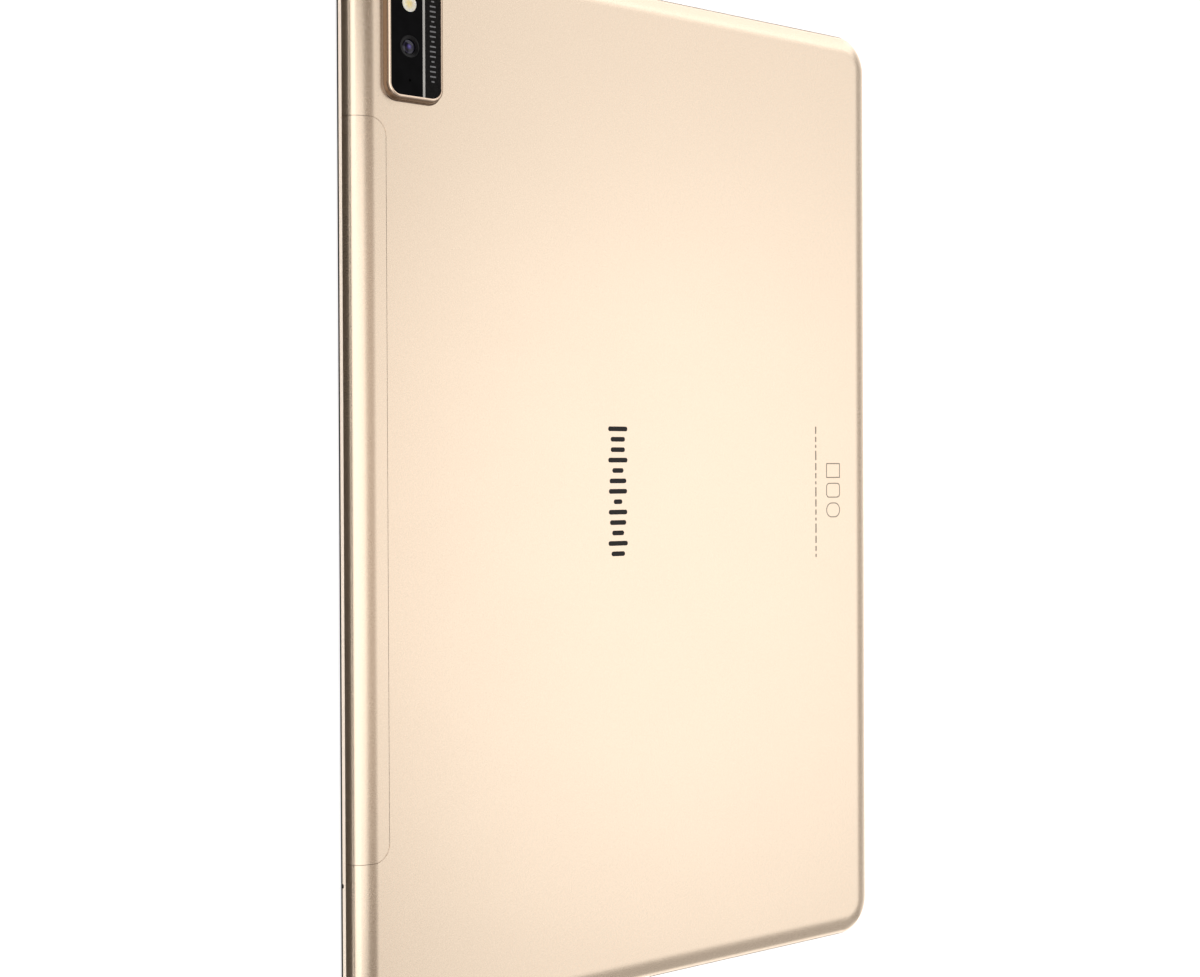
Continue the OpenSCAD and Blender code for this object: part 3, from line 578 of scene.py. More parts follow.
def make_flash():
    r = flash_high.x - FLASH_X
    top = flash_high.z
    shelf = window_low.z
    rim = r - 0.2 * MM
    profile = [(rim, flash_low.z), (rim, shelf), (r, shelf), (r, top - 0.06 * MM)]
    profile += [(r - 0.06 * MM, top), (rim, top)]
    pitch = 0.22 * MM
    for i in range(6):
        outer = r - 0.24 * MM - i * pitch
        profile += [(outer, top - 0.09 * MM), (outer - 0.05 * MM, top - 0.06 * MM)]
        profile.append((outer - pitch + 0.04 * MM, top - 0.01 * MM))
    return mesh_object("flash_diffuser", turned(profile, (FLASH_X, OPTIC_Y)))


def key_parts(y, length, root, flange, plungers, low):
    """A side key: its rounded face, the flange that keeps it in its slot and its pins."""
    face = power_high.x
    bend = 0.32 * MM
    profile = [(0, root), (0, face - bend)]
    for i in range(1, 7):
        a = math.pi / 2 * i / 6
        profile.append((bend * (1 - math.cos(a)), face - bend + bend * math.sin(a)))
    parts = [slot_shape(y, KEY_Z, length, KEY_H, profile)]
    reach = length / 2 + FLANGE
    edge = 0.05 * MM
    flange_high = (flange[1], y + reach, SIDE_TOP + 0.5 * MM)
    parts.append(block((flange[0], y - reach, low.z), flange_high, edge))
    tip = 0.1 * MM
    pin = [(tip, low.x), (0, low.x + tip), (0, flange[0] + tip)]
    parts += [side_hole(pin_y, KEY_Z, 0.7 * MM, pin, 1, 24) for pin_y in plungers]
    return parts


def make_power_key():
    x = HALF_L - WALL
    flange = (x - 0.7 * MM, x - 0.1 * MM)
    parts = key_parts(POWER_Y, POWER_L, x - 0.2 * MM, flange, [POWER_Y], power_low)
    return mesh_object("power_key_cap", *parts)


def make_volume_key():
    x = HALF_L - WALL
    pins = [VOLUME_Y - 6 * MM, VOLUME_Y + 6 * MM]
    flange = (x - MM, x - 0.5 * MM)
    parts = key_parts(VOLUME_Y, VOLUME_L, x - 0.6 * MM, flange, pins, volume_low)
    return mesh_object("volume_key_cap", *parts)


def make_tray():
    back, front = tray_low.x, HALF_L - WALL - 0.1 * MM
    half_blade, half_t = 6.3 * MM, 0.45 * MM
    sides = [(0, front - 0.02 * MM), (0, HALF_L + MM)]
    face = mesh_object("card_carrier", slot_shape(TRAY_Y, KEY_Z, TRAY_L, KEY_H, sides))
    carve(face, loft(BODY_SIZE, shell_profile(0.04 * MM, BAND_TOP)), how="INTERSECT")
    pin_y = TRAY_Y + 7.6 * MM
    carve(face, side_hole(pin_y, KEY_Z, 0.5 * MM, [(0, front - MM), (0, HALF_L + MM)], 1))
    soften(face, 0.09 * MM, lambda p: p.x > HALF_L - 0.75 * MM)
    centre = ((back + front) / 2, TRAY_Y)
    size = ((front - back) / 2, half_blade, 0.6 * MM)
    rim = 0.06 * MM
    under, top = KEY_Z - half_t, KEY_Z + half_t
    levels = [(rim, under), (0, under + rim), (0, top - rim), (rim, top)]
    blade = mesh_object("blade", loft(size, levels, centre, 6))
    card_size, window_size = (5.5 * MM, 5.3 * MM, 0.8 * MM), (3.7 * MM, 3.9 * MM, 0.8 * MM)
    rise = [(0, under + 0.25 * MM), (0, top - 0.08 * MM), (-0.16 * MM, top + 0.08 * MM)]
    for start in (1.2 * MM, 13.4 * MM):
        middle = (back + start + card_size[0], TRAY_Y)
        carve(blade, loft(card_size, rise, middle, 6))
        carve(blade, plate(window_size, 0, BODY_T, middle, 6))
    return merged(face, blade)


def make_emblem():
    """A generic mark of upright rounded bars, printed on the back."""
    ink = 0.015 * MM
    bars = []
    for i in range(13):
        x = (-15.95 + 2.535 * i) * MM
        height = (0.42 + 0.58 * abs(math.sin(1.15 * i + 0.5))) * 6 * MM
        size = (0.58 * MM, height / 2, 0.55 * MM)
        bars.append(plate(size, BODY_T, BODY_T + ink, (x, 7.3 * MM), 8))
    return mesh_object("emblem", *bars)


def make_small_print():
    """A faint line of dashes and three plain outlined shapes, in place of printed notes."""
    top = BODY_T + 0.01 * MM
    parts = []
    x, end = -18.9 * MM, 16.4 * MM
    step = 0
    while x < end - 0.6 * MM:
        length = min((0.9 + 0.55 * ((step * 5) % 4)) * MM, end - x)
        size = (length / 2, 0.22 * MM, 0.2 * MM)
        parts.append(plate(size, BODY_T, top, (x + length / 2, -60.3 * MM), 4))
        x += length + 0.7 * MM
        step += 1
    line = 0.28 * MM
    rings = [(0, BODY_T), (0, top), (line, top), (line, BODY_T)]
    for i in range(3):
        centre = ((-6.4 + 5.3 * i) * MM, -66.8 * MM)
        size = (2.0 * MM, 2.6 * MM, (2.0 - 0.9 * i) * MM)
        parts.append(loft(size, rings, centre, 12, closed=True))
    return mesh_object("small_print", *parts)


def make_module_marks():
    """A row of plain bars on the charcoal strip, in place of printed words."""
    top = window_high.z + 0.01 * MM
    y = (window_low.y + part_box("window_divider")[0].y) / 2
    parts = []
    for i in range(18):
        x = window_low.x + (3.8 + 1.12 * i) * MM
        half = (0.78 if i % 4 else 0.4) * MM
        parts.append(plate((0.17 * MM, half, 0.12 * MM), window_high.z, top, (x, y), 4))
    return mesh_object("module_marks", *parts)


def make_usb_contacts():
    """Gold pads on both faces of the USB tongue."""
    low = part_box("usb_tongue")[0]
    pads = []
    x0, x1, half, thick = low.x + 0.3 * MM, low.x + 3.2 * MM, 0.13 * MM, 0.03 * MM
    for i in range(12):
        y = (i - 5.5) * 0.5 * MM
        for z in (USB_Z - 0.37 * MM, USB_Z + 0.34 * MM):
            pads.append(block((x0, y - half, z), (x1, y + half, z + thick), 0.005 * MM))
    return mesh_object("usb_contacts", *pads)


# ---- Materials ----

def add(tree, kind, inputs=(), **settings):
    """A shader node; its inputs are numbers, colours or other nodes' outputs."""
    made = tree.nodes.new("ShaderNode" + kind)
    for name, value in settings.items():
        setattr(made, name, value)
    for name, value in dict(inputs).items():
        if isinstance(value, bpy.types.NodeSocket):
            tree.links.new(value, made.inputs[name])
        else:
            made.inputs[name].default_value = value
    return made


def start(name):
    """A new material: its node tree, its shader and a position in millimetres in the row frame."""
    material = bpy.data.materials.new(name)
    material.use_nodes = True
    tree = material.node_tree
    shader = tree.nodes["Principled BSDF"]
    spot = add(tree, "TexCoord").outputs["Object"]
    place = add(tree, "VectorMath", {0: spot, 1: (1000, 1000, 1000)}, operation="MULTIPLY").outputs[0]
    return material, tree, shader, place


def noise(tree, place, scale, detail=3.0, stretch=None):
    if stretch:
        place = add(tree, "VectorMath", {0: place, 1: stretch}, operation="MULTIPLY").outputs[0]
    return add(tree, "TexNoise", {"Vector": place, "Scale": scale, "Detail": detail}).outputs["Fac"]


def spread(tree, value, low, high, from_low=0.3, from_high=0.7):
    """Stretches a 0 to 1 value over a range."""
    ends = {"From Min": from_low, "From Max": from_high, "To Min": low, "To Max": high}
    return add(tree, "MapRange", {"Value": value, **ends}).outputs["Result"]


def waves(tree, place, scale, direction, distortion=0.0, detail=2.0):
    inputs = {"Vector": place, "Scale": scale, "Distortion": distortion, "Detail": detail}
    return add(tree, "TexWave", inputs, bands_direction=direction).outputs["Fac"]


def blended(tree, factor, a, b):
    made = add(tree, "Mix", data_type="RGBA", blend_type="MIX")
    for socket, value in ((made.inputs[0], factor), (made.inputs[6], a), (made.inputs[7], b)):
        if isinstance(value, bpy.types.NodeSocket):
            tree.links.new(value, socket)
        elif socket.type == "RGBA":
            socket.default_value = (*value[:3], 1)
        else:
            socket.default_value = value
    return made.outputs[2]


def sums(tree, operation, a, b=0.0):
    return add(tree, "Math", {0: a, 1: b}, operation=operation).outputs[0]


def relief(tree, shader, height, depth_mm, strength=1.0, before=None):
    inputs = {"Height": height, "Distance": depth_mm * MM, "Strength": strength}
    if before:
        inputs["Normal"] = before
    made = add(tree, "Bump", inputs)
    tree.links.new(made.outputs["Normal"], shader.inputs["Normal"])
    return made.outputs["Normal"]


def shaded(colour, factor):
    return tuple(c * factor for c in colour)


def satin(name, colour, metallic, roughness, vary=0.03, grain=9.0, depth=0.002, specular=0.5):
    """A fine blasted or moulded surface: slight tone changes, faint handling marks and a fine grain."""
    material, tree, shader, place = start(name)
    tone = noise(tree, place, 0.035, 2.0)
    fine = noise(tree, place, grain, 2.0)
    smears = noise(tree, place, 0.1, 3.0, (1.0, 0.45, 1.0))
    colours = blended(tree, spread(tree, tone, 0, 1), shaded(colour, 1 - vary), shaded(colour, 1 + vary))
    tree.links.new(colours, shader.inputs["Base Color"])
    marks = spread(tree, smears, -0.003, 0.004)
    rough = sums(tree, "ADD", spread(tree, fine, roughness - 0.03, roughness + 0.03), marks)
    tree.links.new(rough, shader.inputs["Roughness"])
    shader.inputs["Metallic"].default_value = metallic
    shader.inputs["Specular IOR Level"].default_value = specular
    relief(tree, shader, fine, depth)
    return material


def brushed(name, colour, roughness, stretch, depth=0.003):
    """Rolled or brushed metal with long fine lines."""
    material, tree, shader, place = start(name)
    lines = noise(tree, place, 3.0, 4.0, stretch)
    stains = noise(tree, place, 0.12, 3.0)
    mixed = sums(tree, "ADD", sums(tree, "MULTIPLY", lines, 0.6), sums(tree, "MULTIPLY", stains, 0.4))
    colours = blended(tree, spread(tree, mixed, 0, 1), shaded(colour, 0.82), shaded(colour, 1.08))
    tree.links.new(colours, shader.inputs["Base Color"])
    tree.links.new(spread(tree, lines, roughness - 0.06, roughness + 0.08), shader.inputs["Roughness"])
    shader.inputs["Metallic"].default_value = 1
    relief(tree, shader, lines, depth)
    return material


def moulded(name, colour, roughness, grain=2.5, depth=0.01, specular=0.4):
    """Moulded or coated parts with a visible grain."""
    material, tree, shader, place = start(name)
    fine = noise(tree, place, grain, 5.0)
    broad = noise(tree, place, 0.2, 2.0)
    mixed = sums(tree, "ADD", sums(tree, "MULTIPLY", fine, 0.5), sums(tree, "MULTIPLY", broad, 0.5))
    tone = spread(tree, mixed, 0, 1, 0.35, 0.65)
    colours = blended(tree, tone, shaded(colour, 0.75), shaded(colour, 1.25))
    tree.links.new(colours, shader.inputs["Base Color"])
    tree.links.new(spread(tree, fine, roughness - 0.08, roughness + 0.1), shader.inputs["Roughness"])
    shader.inputs["Specular IOR Level"].default_value = specular
    relief(tree, shader, fine, depth)
    return material


def ridged(name, colour, second, pitch, direction, roughness, depth=0.01, metallic=0.0, wander=0.3):
    """Parallel tracks or threads of a second colour, pitch millimetres apart."""
    material, tree, shader, place = start(name)
    rows = waves(tree, place, WAVE_SCALE / pitch, direction, wander, 1.0)
    patches = noise(tree, place, 0.35, 3.0)
    tracks = sums(tree, "MULTIPLY", spread(tree, rows, 0, 1, 0.4, 0.6), spread(tree, patches, 0.35, 1.0))
    tree.links.new(blended(tree, tracks, colour, second), shader.inputs["Base Color"])
    tree.links.new(spread(tree, patches, roughness - 0.06, roughness + 0.08), shader.inputs["Roughness"])
    shader.inputs["Metallic"].default_value = metallic
    relief(tree, shader, rows, depth)
    return material


def circuit(name, colour):
    """Solder mask with raised copper tracks, pours and tinned pads."""
    material, tree, shader, place = start(name)
    across, along = [waves(tree, place, 0.45, direction) for direction in ("X", "Y")]
    cells = add(tree, "TexVoronoi", {"Vector": place, "Scale": 0.28}, distance="CHEBYCHEV")
    choice = sums(tree, "GREATER_THAN", cells.outputs["Distance"], 0.42)
    tracks = spread(tree, blended(tree, choice, (0, 0, 0), (1, 1, 1)), 0, 1, 0, 1)
    others = sums(tree, "MULTIPLY", along, sums(tree, "SUBTRACT", 1.0, tracks))
    lines = sums(tree, "ADD", sums(tree, "MULTIPLY", across, tracks), others)
    raised = spread(tree, lines, 0, 1, 0.45, 0.6)
    dots = add(tree, "TexVoronoi", {"Vector": place, "Scale": 0.55}).outputs["Distance"]
    pads = sums(tree, "LESS_THAN", dots, 0.16)
    mask = blended(tree, raised, shaded(colour, 0.75), shaded(colour, 1.5))
    tree.links.new(blended(tree, pads, mask, (0.78, 0.74, 0.6)), shader.inputs["Base Color"])
    tree.links.new(pads, shader.inputs["Metallic"])
    tree.links.new(spread(tree, noise(tree, place, 1.2), 0.28, 0.42), shader.inputs["Roughness"])
    relief(tree, shader, raised, 0.02)
    return material


def grid(name, colour, pitch, roughness, depth):
    """A woven or punched screen."""
    material, tree, shader, place = start(name)
    rows = [waves(tree, place, WAVE_SCALE / pitch, direction) for direction in ("Y", "Z")]
    holes = sums(tree, "MULTIPLY", *rows)
    grit = noise(tree, place, 4.0)
    solid = spread(tree, holes, 1.0, 0.0, 0.3, 0.6)
    tone = sums(tree, "ADD", solid, sums(tree, "MULTIPLY", grit, 0.2))
    colours = blended(tree, tone, shaded(colour, 0.25), shaded(colour, 1.6))
    tree.links.new(colours, shader.inputs["Base Color"])
    tree.links.new(spread(tree, grit, roughness - 0.08, roughness + 0.08), shader.inputs["Roughness"])
    relief(tree, shader, holes, -depth)
    return material


def crinkled(name, colour):
    """Wrapped foil pouch with shallow creases."""
    material, tree, shader, place = start(name)
    cells = add(tree, "TexVoronoi", {"Vector": place, "Scale": 0.12}, feature="DISTANCE_TO_EDGE")
    creases = spread(tree, cells.outputs["Distance"], 0, 0.4, 0, 0.1)
    folds = sums(tree, "ADD", creases, noise(tree, place, 0.25, 5.0))
    tone = spread(tree, noise(tree, place, 0.08, 4.0), 0, 1)
    colours = blended(tree, tone, shaded(colour, 0.7), shaded(colour, 1.3))
    tree.links.new(colours, shader.inputs["Base Color"])
    tree.links.new(spread(tree, folds, 0.3, 0.45, 0.3, 1.0), shader.inputs["Roughness"])
    shader.inputs["Metallic"].default_value = 0.7
    relief(tree, shader, folds, 0.12)
    return material


def height_step(tree, place, z, low, high):
    """Fades from low to high over a tenth of a millimetre round height z."""
    up = add(tree, "SeparateXYZ", {0: place}).outputs["Z"]
    return spread(tree, up, low, high, z / MM - 0.05, z / MM + 0.05)


def two_level(material, z, lower, lower_metal, lower_rough):
    """Gives a satin material a second tone below height z. Here it paints a dark reflection low on the bezel
    wall, a black strip with painted shade at the edge band's foot and a pale strip low on the shell.
    """
    tree = material.node_tree
    shader = tree.nodes["Principled BSDF"]
    place = next(n for n in tree.nodes if n.type == "VECT_MATH").outputs[0]
    step = height_step(tree, place, z, 0, 1)
    for name, value in (("Base Color", lower), ("Roughness", lower_rough), ("Metallic", lower_metal)):
        socket = shader.inputs[name]
        above = socket.links[0].from_socket if socket.is_linked else socket.default_value
        if name == "Base Color":
            tree.links.new(blended(tree, step, value, above), socket)
        else:
            both = add(tree, "Mix", {0: step, 2: value, 3: above}, data_type="FLOAT")
            tree.links.new(both.outputs[0], socket)
    return material


def radius_from(tree, place, x, y):
    """The distance in millimetres, in plan, from a point of the row."""
    flat = add(tree, "VectorMath", {0: place, 1: (1, 1, 0)}, operation="MULTIPLY").outputs[0]
    centre = (x / MM, y / MM, 0)
    return add(tree, "VectorMath", {0: flat, 1: centre}, operation="DISTANCE").outputs["Value"]


def window_finish():
    """Black glass, with the textured charcoal strip on the inner side of the silver line."""
    material, tree, shader, place = start("window_black")
    divider_low, divider_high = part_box("window_divider")
    y = add(tree, "SeparateXYZ", {0: place}).outputs["Y"]
    strip = sums(tree, "LESS_THAN", y, (divider_low.y + divider_high.y) / 2 / MM)
    weave = noise(tree, place, 3.2, 2.0)
    charcoal = blended(tree, spread(tree, weave, 0, 1), (0.005, 0.0048, 0.0048), (0.017, 0.016, 0.0155))
    haze = noise(tree, place, 0.4, 3.0)
    black = blended(tree, spread(tree, haze, 0, 1), (0.002, 0.002, 0.0022), (0.004, 0.004, 0.0045))
    tree.links.new(blended(tree, strip, black, charcoal), shader.inputs["Base Color"])
    polish = spread(tree, haze, 0.03, 0.07)
    rough = sums(tree, "ADD", sums(tree, "MULTIPLY", strip, spread(tree, weave, 0.3, 0.45)), polish)
    tree.links.new(rough, shader.inputs["Roughness"])
    shader.inputs["Specular IOR Level"].default_value = 0.035
    relief(tree, shader, sums(tree, "MULTIPLY", weave, strip), 0.02)
    return material


def lens_finish():
    material, tree, shader, place = start("coated_lens")
    away = radius_from(tree, place, LENS_X, OPTIC_Y)
    dust = noise(tree, place, 6.0, 2.0)
    # The purple glow in the middle is a painted reflection of the coated inner elements; outwards the lens
    # turns black, with a faint grey ring near its rim.
    ramp = add(tree, "ValToRGB", {"Fac": sums(tree, "DIVIDE", away, 1.65)})
    stops = ((0.0, (0.16, 0.13, 0.4)), (0.22, (0.06, 0.045, 0.18)), (0.4, (0.008, 0.007, 0.025)))
    stops += ((0.62, (0.003, 0.003, 0.006)), (0.8, (0.03, 0.028, 0.05)), (0.9, (0.004, 0.004, 0.006)))
    elements = ramp.color_ramp.elements
    elements[0].position, elements[0].color = stops[0][0], (*stops[0][1], 1)
    elements[1].position, elements[1].color = stops[-1][0], (*stops[-1][1], 1)
    for position, colour in stops[1:-1]:
        elements.new(position).color = (*colour, 1)
    tree.links.new(ramp.outputs["Color"], shader.inputs["Base Color"])
    tree.links.new(spread(tree, dust, 0.02, 0.06), shader.inputs["Roughness"])
    shader.inputs["Specular IOR Level"].default_value = 0.25
    shader.inputs["Coat Weight"].default_value = 0.35
    shader.inputs["Coat Roughness"].default_value = 0.03
    shader.inputs["Coat Tint"].default_value = (0.75, 0.7, 1, 1)
    relief(tree, shader, dust, 0.0005)
    return material


def flash_finish():
    material, tree, shader, place = start("flash_diffuser")
    away = radius_from(tree, place, FLASH_X, OPTIC_Y)
    grit = noise(tree, place, 3.5, 2.0)
    glow = spread(tree, sums(tree, "ADD", away, sums(tree, "MULTIPLY", grit, 0.5)), 1, 0, 0.4, 1.6)
    tree.links.new(blended(tree, glow, (0.93, 0.9, 0.78), (0.98, 0.8, 0.36)), shader.inputs["Base Color"])
    tree.links.new(spread(tree, grit, 0.2, 0.35), shader.inputs["Roughness"])
    shader.inputs["Subsurface Weight"].default_value = 0.3
    shader.inputs["Subsurface Radius"].default_value = (0.001, 0.0008, 0.0004)
    shader.inputs["Subsurface Scale"].default_value = 0.5
    relief(tree, shader, grit, 0.006)
    return material


def screen_finish():
    """The screen's cover glass: black printed border, dark display and the front camera's clear ring."""
    material, tree, shader, place = start("screen_glass")
    panel_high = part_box("display_panel")[1]
    camera_low, camera_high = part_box("front_camera_module")
    axes = add(tree, "SeparateXYZ", {0: place})
    inside = None
    for axis, limit in (("X", panel_high.x), ("Y", panel_high.y)):
        near = sums(tree, "LESS_THAN", sums(tree, "ABSOLUTE", axes.outputs[axis]), (limit - 3.5 * MM) / MM)
        inside = near if inside is None else sums(tree, "MULTIPLY", inside, near)
    smears = noise(tree, place, 0.05, 5.0, (1.0, 0.3, 1.0))
    away = radius_from(tree, place, 0, (camera_low.y + camera_high.y) / 2)
    eye = sums(tree, "LESS_THAN", away, 1.7)
    pupil = sums(tree, "LESS_THAN", away, 0.9)
    border = blended(tree, smears, (0.004, 0.004, 0.004), (0.007, 0.007, 0.007))
    display = blended(tree, smears, (0.011, 0.012, 0.015), (0.016, 0.017, 0.021))
    base = blended(tree, inside, border, display)
    base = blended(tree, eye, base, (0.03, 0.03, 0.036))
    base = blended(tree, pupil, base, (0.01, 0.012, 0.045))
    tree.links.new(base, shader.inputs["Base Color"])
    tree.links.new(spread(tree, smears, 0.03, 0.13), shader.inputs["Roughness"])
    relief(tree, shader, noise(tree, place, 1.5), 0.0006)
    return material


def ink_finish(name, colour, edge):
    material, tree, shader, place = start(name)
    speck = noise(tree, place, 7.0, 3.0)
    tree.links.new(blended(tree, spread(tree, speck, 0, 1), colour, edge), shader.inputs["Base Color"])
    tree.links.new(spread(tree, speck, 0.4, 0.55), shader.inputs["Roughness"])
    shader.inputs["Specular IOR Level"].default_value = 0.25
    relief(tree, shader, speck, 0.003)
    return material


CHAMPAGNE = (0.905, 0.755, 0.60)
PLASTIC = (0.97, 0.85, 0.72)
# Black for the edge band's foot: partly the dark screen edge, partly painted shade of the gap along it.
BLACK_EDGE_AND_SHADE = (0.012, 0.011, 0.011)
CHAMPAGNE_LIGHT = (0.95, 0.81, 0.67)
BEZEL_TONE = (0.88, 0.70, 0.55)
# Painted dark reflection on the camera bezel's side wall.
BEZEL_WALL_PAINTED_SHADE = (0.22, 0.155, 0.11)
STEEL = (0.6, 0.6, 0.61)
SLEEVE = (0.015, 0.015, 0.016)
BRAID = (0.035, 0.035, 0.038)
looks = {
    "shell": satin("shell", CHAMPAGNE, 1.0, 0.27, vary=0.004),
    "antenna_plastic": satin("antenna_plastic", CHAMPAGNE, 1.0, 0.275, vary=0.004),
    "frame_plastic": satin("frame_plastic", CHAMPAGNE_LIGHT, 0.3, 0.36, vary=0.01),
    "bezel_metal": satin("bezel_metal", BEZEL_TONE, 1.0, 0.16, vary=0.02, depth=0.001),
    "cover_glass": screen_finish(),
    "window_glass": window_finish(),
    "silver_trim": brushed("silver_trim", (0.5, 0.49, 0.47), 0.38, (0.15, 5.0, 5.0)),
    "lens_ring": satin("lens_ring", (0.006, 0.006, 0.007), 0.0, 0.3, vary=0.15, grain=14.0, specular=0.22),
    "lens_glass": lens_finish(),
    "flash_plastic": flash_finish(),
    "led_package": moulded("led_package", (0.85, 0.66, 0.12), 0.45, 4.0, 0.01),
    "display_cell": grid("display_cell", (0.05, 0.05, 0.065), 0.4, 0.15, 0.002),
    "reflector": moulded("reflector", (0.75, 0.77, 0.8), 0.4, 0.8, 0.01),
    "steel": brushed("stamped_steel", STEEL, 0.34, (0.06, 4.0, 4.0)),
    "tape": moulded("tape", (0.02, 0.02, 0.021), 0.7, 4.0, 0.03),
    "foam": moulded("foam", (0.03, 0.03, 0.03), 0.85, 3.0, 0.08),
    "module_black": moulded("module_black", (0.022, 0.022, 0.024), 0.45, 5.0, 0.008),
    "flex": ridged("polyimide_flex", (0.42, 0.2, 0.035), (0.62, 0.33, 0.08), 0.6, "X", 0.35, 0.012),
    "pouch": crinkled("pouch_foil", (0.16, 0.16, 0.175)),
    "board": circuit("main_solder_mask", (0.012, 0.1, 0.055)),
    "battery_board": circuit("battery_solder_mask", (0.015, 0.08, 0.2)),
    "chip": moulded("chip_package", (0.018, 0.018, 0.019), 0.5, 8.0, 0.006),
    "graphite": brushed("graphite_sheet", (0.06, 0.06, 0.065), 0.45, (0.5, 0.5, 1.0), 0.01),
    "wire": moulded("wire_sleeve", (0.5, 0.02, 0.015), 0.42, 1.5, 0.01),
    "gold": brushed("plated_gold", (0.75, 0.5, 0.15), 0.25, (0.3, 3.0, 3.0), 0.002),
    "mesh": grid("acoustic_mesh", (0.02, 0.02, 0.021), 0.12, 0.6, 0.03),
    "coax": ridged("coax_braid", SLEEVE, BRAID, 0.25, "DIAGONAL", 0.5, 0.015),
}
# Painted shade: the bezel's side wall below its rim is coloured dark brown, a painted dark reflection of the
# surroundings.
two_level(looks["bezel_metal"], bezel_high.z - 0.16 * MM, BEZEL_WALL_PAINTED_SHADE, 1.0, 0.24)
band_look = satin("edge_band", PLASTIC, 0.0, 0.4, vary=0.01)
# The edge band's foot is coloured black: partly the dark edge of the screen glass, partly painted shade of
# the gap along it.
two_level(band_look, BLACK_EDGE_AND_SHADE_TOP, BLACK_EDGE_AND_SHADE, 0.0, 0.5)
# The shell's lowest strip takes the band's pale plastic colour and no metal, so that the pale band looks
# wider.
for cover in ("shell", "antenna_plastic"):
    two_level(looks[cover], PALE_STRIP_TOP, PLASTIC, 0.0, 0.4)
module_ink = ink_finish("module_ink", (0.24, 0.24, 0.25), (0.14, 0.14, 0.15))
emblem_ink = ink_finish("emblem_ink", (0.012, 0.011, 0.011), (0.022, 0.02, 0.019))
faint_ink = ink_finish("faint_ink", (0.30, 0.255, 0.205), (0.36, 0.31, 0.255))

# ---- The object: new pieces over the CAD, and better materials on the CAD nodes that stay ----

for part in frame["record"]["subparts"]:
    slots = frame["nodes"][part["node"]].data.materials
    slots.clear()
    slots.append(looks[part["material_slot"]])

piece(make_rear_cover(), looks["shell"], HOUSING, "shell", "rear_cover")
piece(make_antenna_cover(), looks["antenna_plastic"], HOUSING, "antenna_plastic", "antenna_cover")
piece(make_front_frame(), band_look, HOUSING, "frame_plastic", "front_frame")
piece(make_glass(), looks["cover_glass"], HOUSING, "cover_glass", "front_glass")
piece(make_bezel(), looks["bezel_metal"], HOUSING, "bezel_metal", "camera_bezel")
piece(make_window(), looks["window_glass"], HOUSING, "window_glass", "camera_window")
piece(make_lens_ring(), looks["lens_ring"], HOUSING, "lens_ring", "rear_lens_ring")
piece(make_lens(), looks["lens_glass"], HOUSING, "lens_glass", "rear_lens")
piece(make_flash(), looks["flash_plastic"], HOUSING, "flash_plastic", "flash_lens")
piece(make_power_key(), looks["frame_plastic"], POWER_KEY, "frame_plastic", "power_button")
piece(make_volume_key(), looks["frame_plastic"], VOLUME_KEY, "frame_plastic", "volume_rocker")
piece(make_tray(), looks["frame_plastic"], TRAY, "frame_plastic", "card_tray")
piece(make_emblem(), emblem_ink, HOUSING, "window_glass")
piece(make_small_print(), faint_ink, HOUSING, "shell")
piece(make_module_marks(), module_ink, HOUSING, "window_glass")
piece(make_usb_contacts(), looks["gold"], HOUSING, "gold")


# ---- Floor, world and lights ----

def flat_sheet(x0, y0, x1, y1):
    corners = ((x0, y0), (x1, y0), (x1, y1), (x0, y1))
    return [Vector((x, y, 0)) for x, y in corners], [(0, 1, 2, 3)]


def make_floor():
    reach = 40
    floor = mesh_object("floor", flat_sheet(-reach, -reach, reach, reach))
    floor.location.z = -0.1 * MM
    material, tree, shader, place = start("pale_floor")
    pale = blended(tree, noise(tree, place, 0.004), (0.88, 0.88, 0.88), (0.92, 0.92, 0.92))
    tree.links.new(pale, shader.inputs["Base Color"])
    shader.inputs["Roughness"].default_value = 0.9
    shader.inputs["Specular IOR Level"].default_value = 0.1
    shader.inputs["Emission Color"].default_value = (1, 1, 1, 1)
    away = radius_from(tree, place, 0, 0)
    tree.links.new(spread(tree, away, 0.6, 1.1, 900, 3200), shader.inputs["Emission Strength"])
    floor.data.materials.append(material)


def make_flags():
    """Dark cards beside three edges: painted shade of the floor next to the walls, fading out 30 to 70 mm
    from the long side. The camera doesn't see them; the side walls mirror them.
    """
    near, far, reach = HALF_W + 0.4 * MM, HALF_W + 70 * MM, HALF_L - 2 * MM
    cards = [flat_sheet(-reach, near, reach, far)]
    for sign in (-1, 1):
        start_x, end_x = sign * (HALF_L + 0.4 * MM), sign * (HALF_L + 9 * MM)
        cards.append(flat_sheet(start_x, -HALF_W, end_x, HALF_W))
    flag = mesh_object("flags", *cards)
    material, tree, shader, place = start("painted_shade_card")
    side = sums(tree, "ABSOLUTE", add(tree, "SeparateXYZ", {0: place}).outputs["Y"])
    # Painted shade: the card is dark next to the wall and pales away from it.
    shade_fade = spread(tree, side, 0, 1, HALF_W / MM + 30, HALF_W / MM + 70)
    card = blended(tree, shade_fade, (0.075, 0.065, 0.054), (0.9, 0.9, 0.9))
    tree.links.new(card, shader.inputs["Base Color"])
    shader.inputs["Roughness"].default_value = 0.9
    flag.data.materials.append(material)
    flag.visible_camera = False
    flag.visible_shadow = False
    flag.visible_diffuse = False


def make_world():
    world = bpy.data.worlds.new("studio")
    bpy.context.scene.world = world
    world.use_nodes = True
    tree = world.node_tree
    tree.nodes.clear()
    seen = add(tree, "LightPath").outputs["Is Camera Ray"]
    colour = blended(tree, seen, (0.15, 0.127, 0.108), (1, 1, 1))
    sky = add(tree, "Background", {"Color": colour, "Strength": 1.0})
    out = add(tree, "OutputWorld")
    tree.links.new(sky.outputs[0], out.inputs["Surface"])


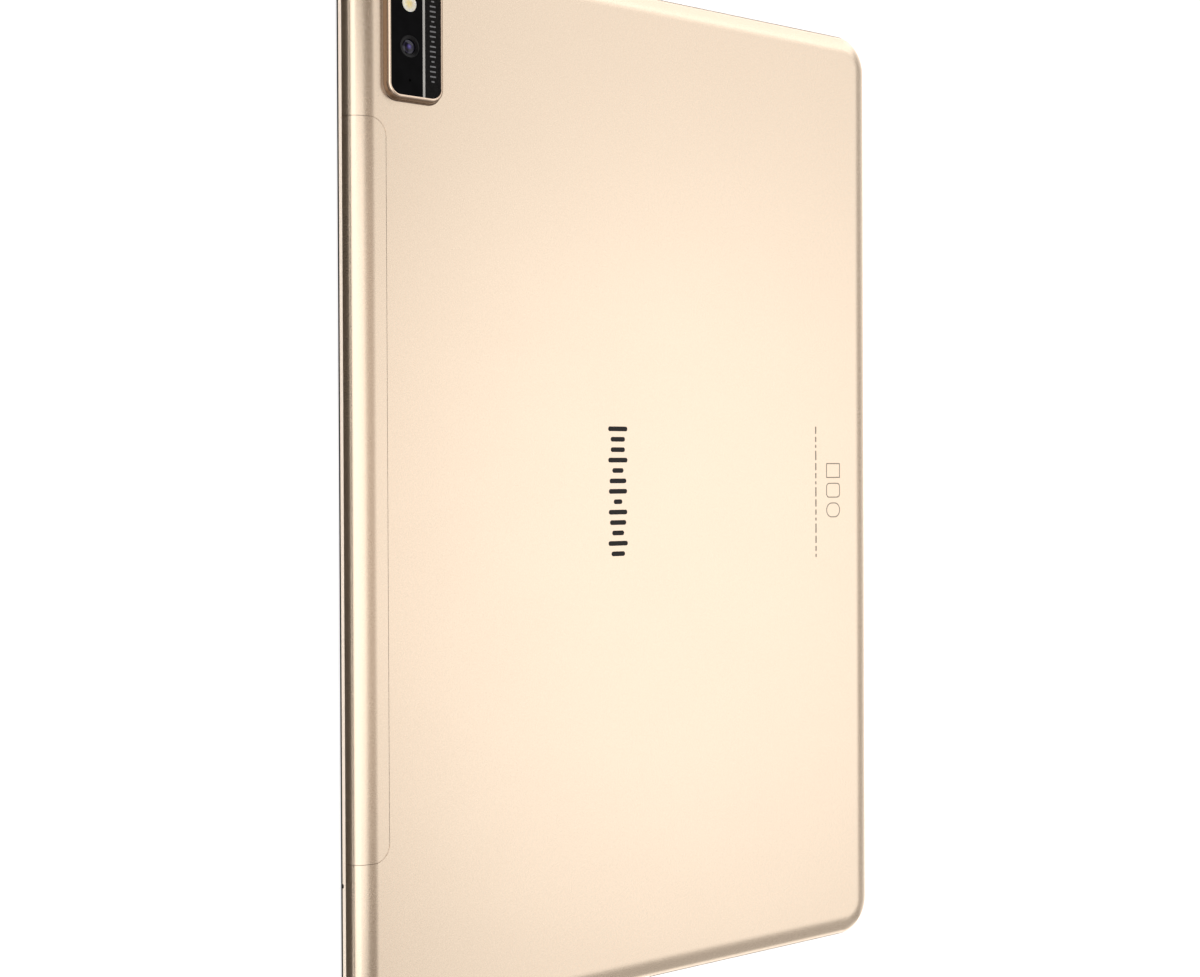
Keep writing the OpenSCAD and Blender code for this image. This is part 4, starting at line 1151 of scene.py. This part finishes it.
def softbox(name, low, high, corner, radiance, colour=(1, 1, 1)):
    """A light over a parallelogram: low to high is its width, low to corner its height."""
    low, high, corner = Vector(low), Vector(high), Vector(corner)
    across, along = high - low, corner - low
    data = bpy.data.lights.new(name, "AREA")
    data.shape = "RECTANGLE"
    data.size = across.length
    data.size_y = along.length
    data.energy = radiance * across.length * along.length * math.pi
    data.color = colour
    light = bpy.data.objects.new(name, data)
    bpy.context.scene.collection.objects.link(light)
    x, y = across.normalized(), along.normalized()
    z = x.cross(y)
    light.rotation_mode = "QUATERNION"
    light.rotation_quaternion = Matrix((x, y, z)).transposed().to_quaternion()
    light.location = low + across / 2 + along / 2
    return light


make_floor()
make_flags()
make_world()
softbox("overhead", (-1.1, -2.6, 1.5), (1.5, -2.6, 1.5), (-1.1, -0.64, 1.5), 0.84)
glow = softbox("overhead_glow", (-0.65, -1.9, 1.48), (0.42, -1.9, 1.48), (-0.65, -0.74, 1.48), 0.26)
glow.data.shape = "ELLIPSE"
WARM = (1, 0.86, 0.76)
gap_glow = softbox("gap_glow", (-0.45, -0.65, 1.46), (0.4, -0.65, 1.46), (-0.45, 0.1, 1.46), 0.3, WARM)
gap_glow.data.shape = "ELLIPSE"
softbox("antenna_side", (0.44, 1.3, 0.34), (-0.5, 1.3, 0.34), (0.44, 0.03, 1.55), 1.35)
softbox("antenna_side_low", (0.8, 1.3, 0.34), (0.44, 1.3, 0.34), (0.8, 0.8, 1.0), 1.1)
softbox("antenna_side_far", (-0.5, 1.3, 0.34), (-2.2, 1.3, 0.34), (-0.5, 0.5, 1.55), 0.6)
softbox("camera_end", (1.7, -2.6, 0.02), (1.7, -0.2, 0.02), (1.2, -2.6, 1.4), 1.1)
softbox("port_end", (-1.6, 1.2, 0.02), (-1.6, -2.6, 0.02), (-1.2, 1.2, 1.5), 0.3)
softbox("port_end_low", (-1.5, 1.2, 0.02), (-1.5, -2.6, 0.02), (-1.5, 1.2, 0.5), 0.5)
softbox("low_side", (-1.3, -2.8, 0.02), (2.2, -2.8, 0.02), (-1.3, -2.65, 1.4), 0.25)
softbox("low_side_foot", (-1.3, -2.75, 0.02), (2.2, -2.75, 0.02), (-1.3, -2.75, 0.5), 0.45)

scene = bpy.context.scene
scene.view_settings.view_transform = "Standard"
scene.view_settings.look = "None"
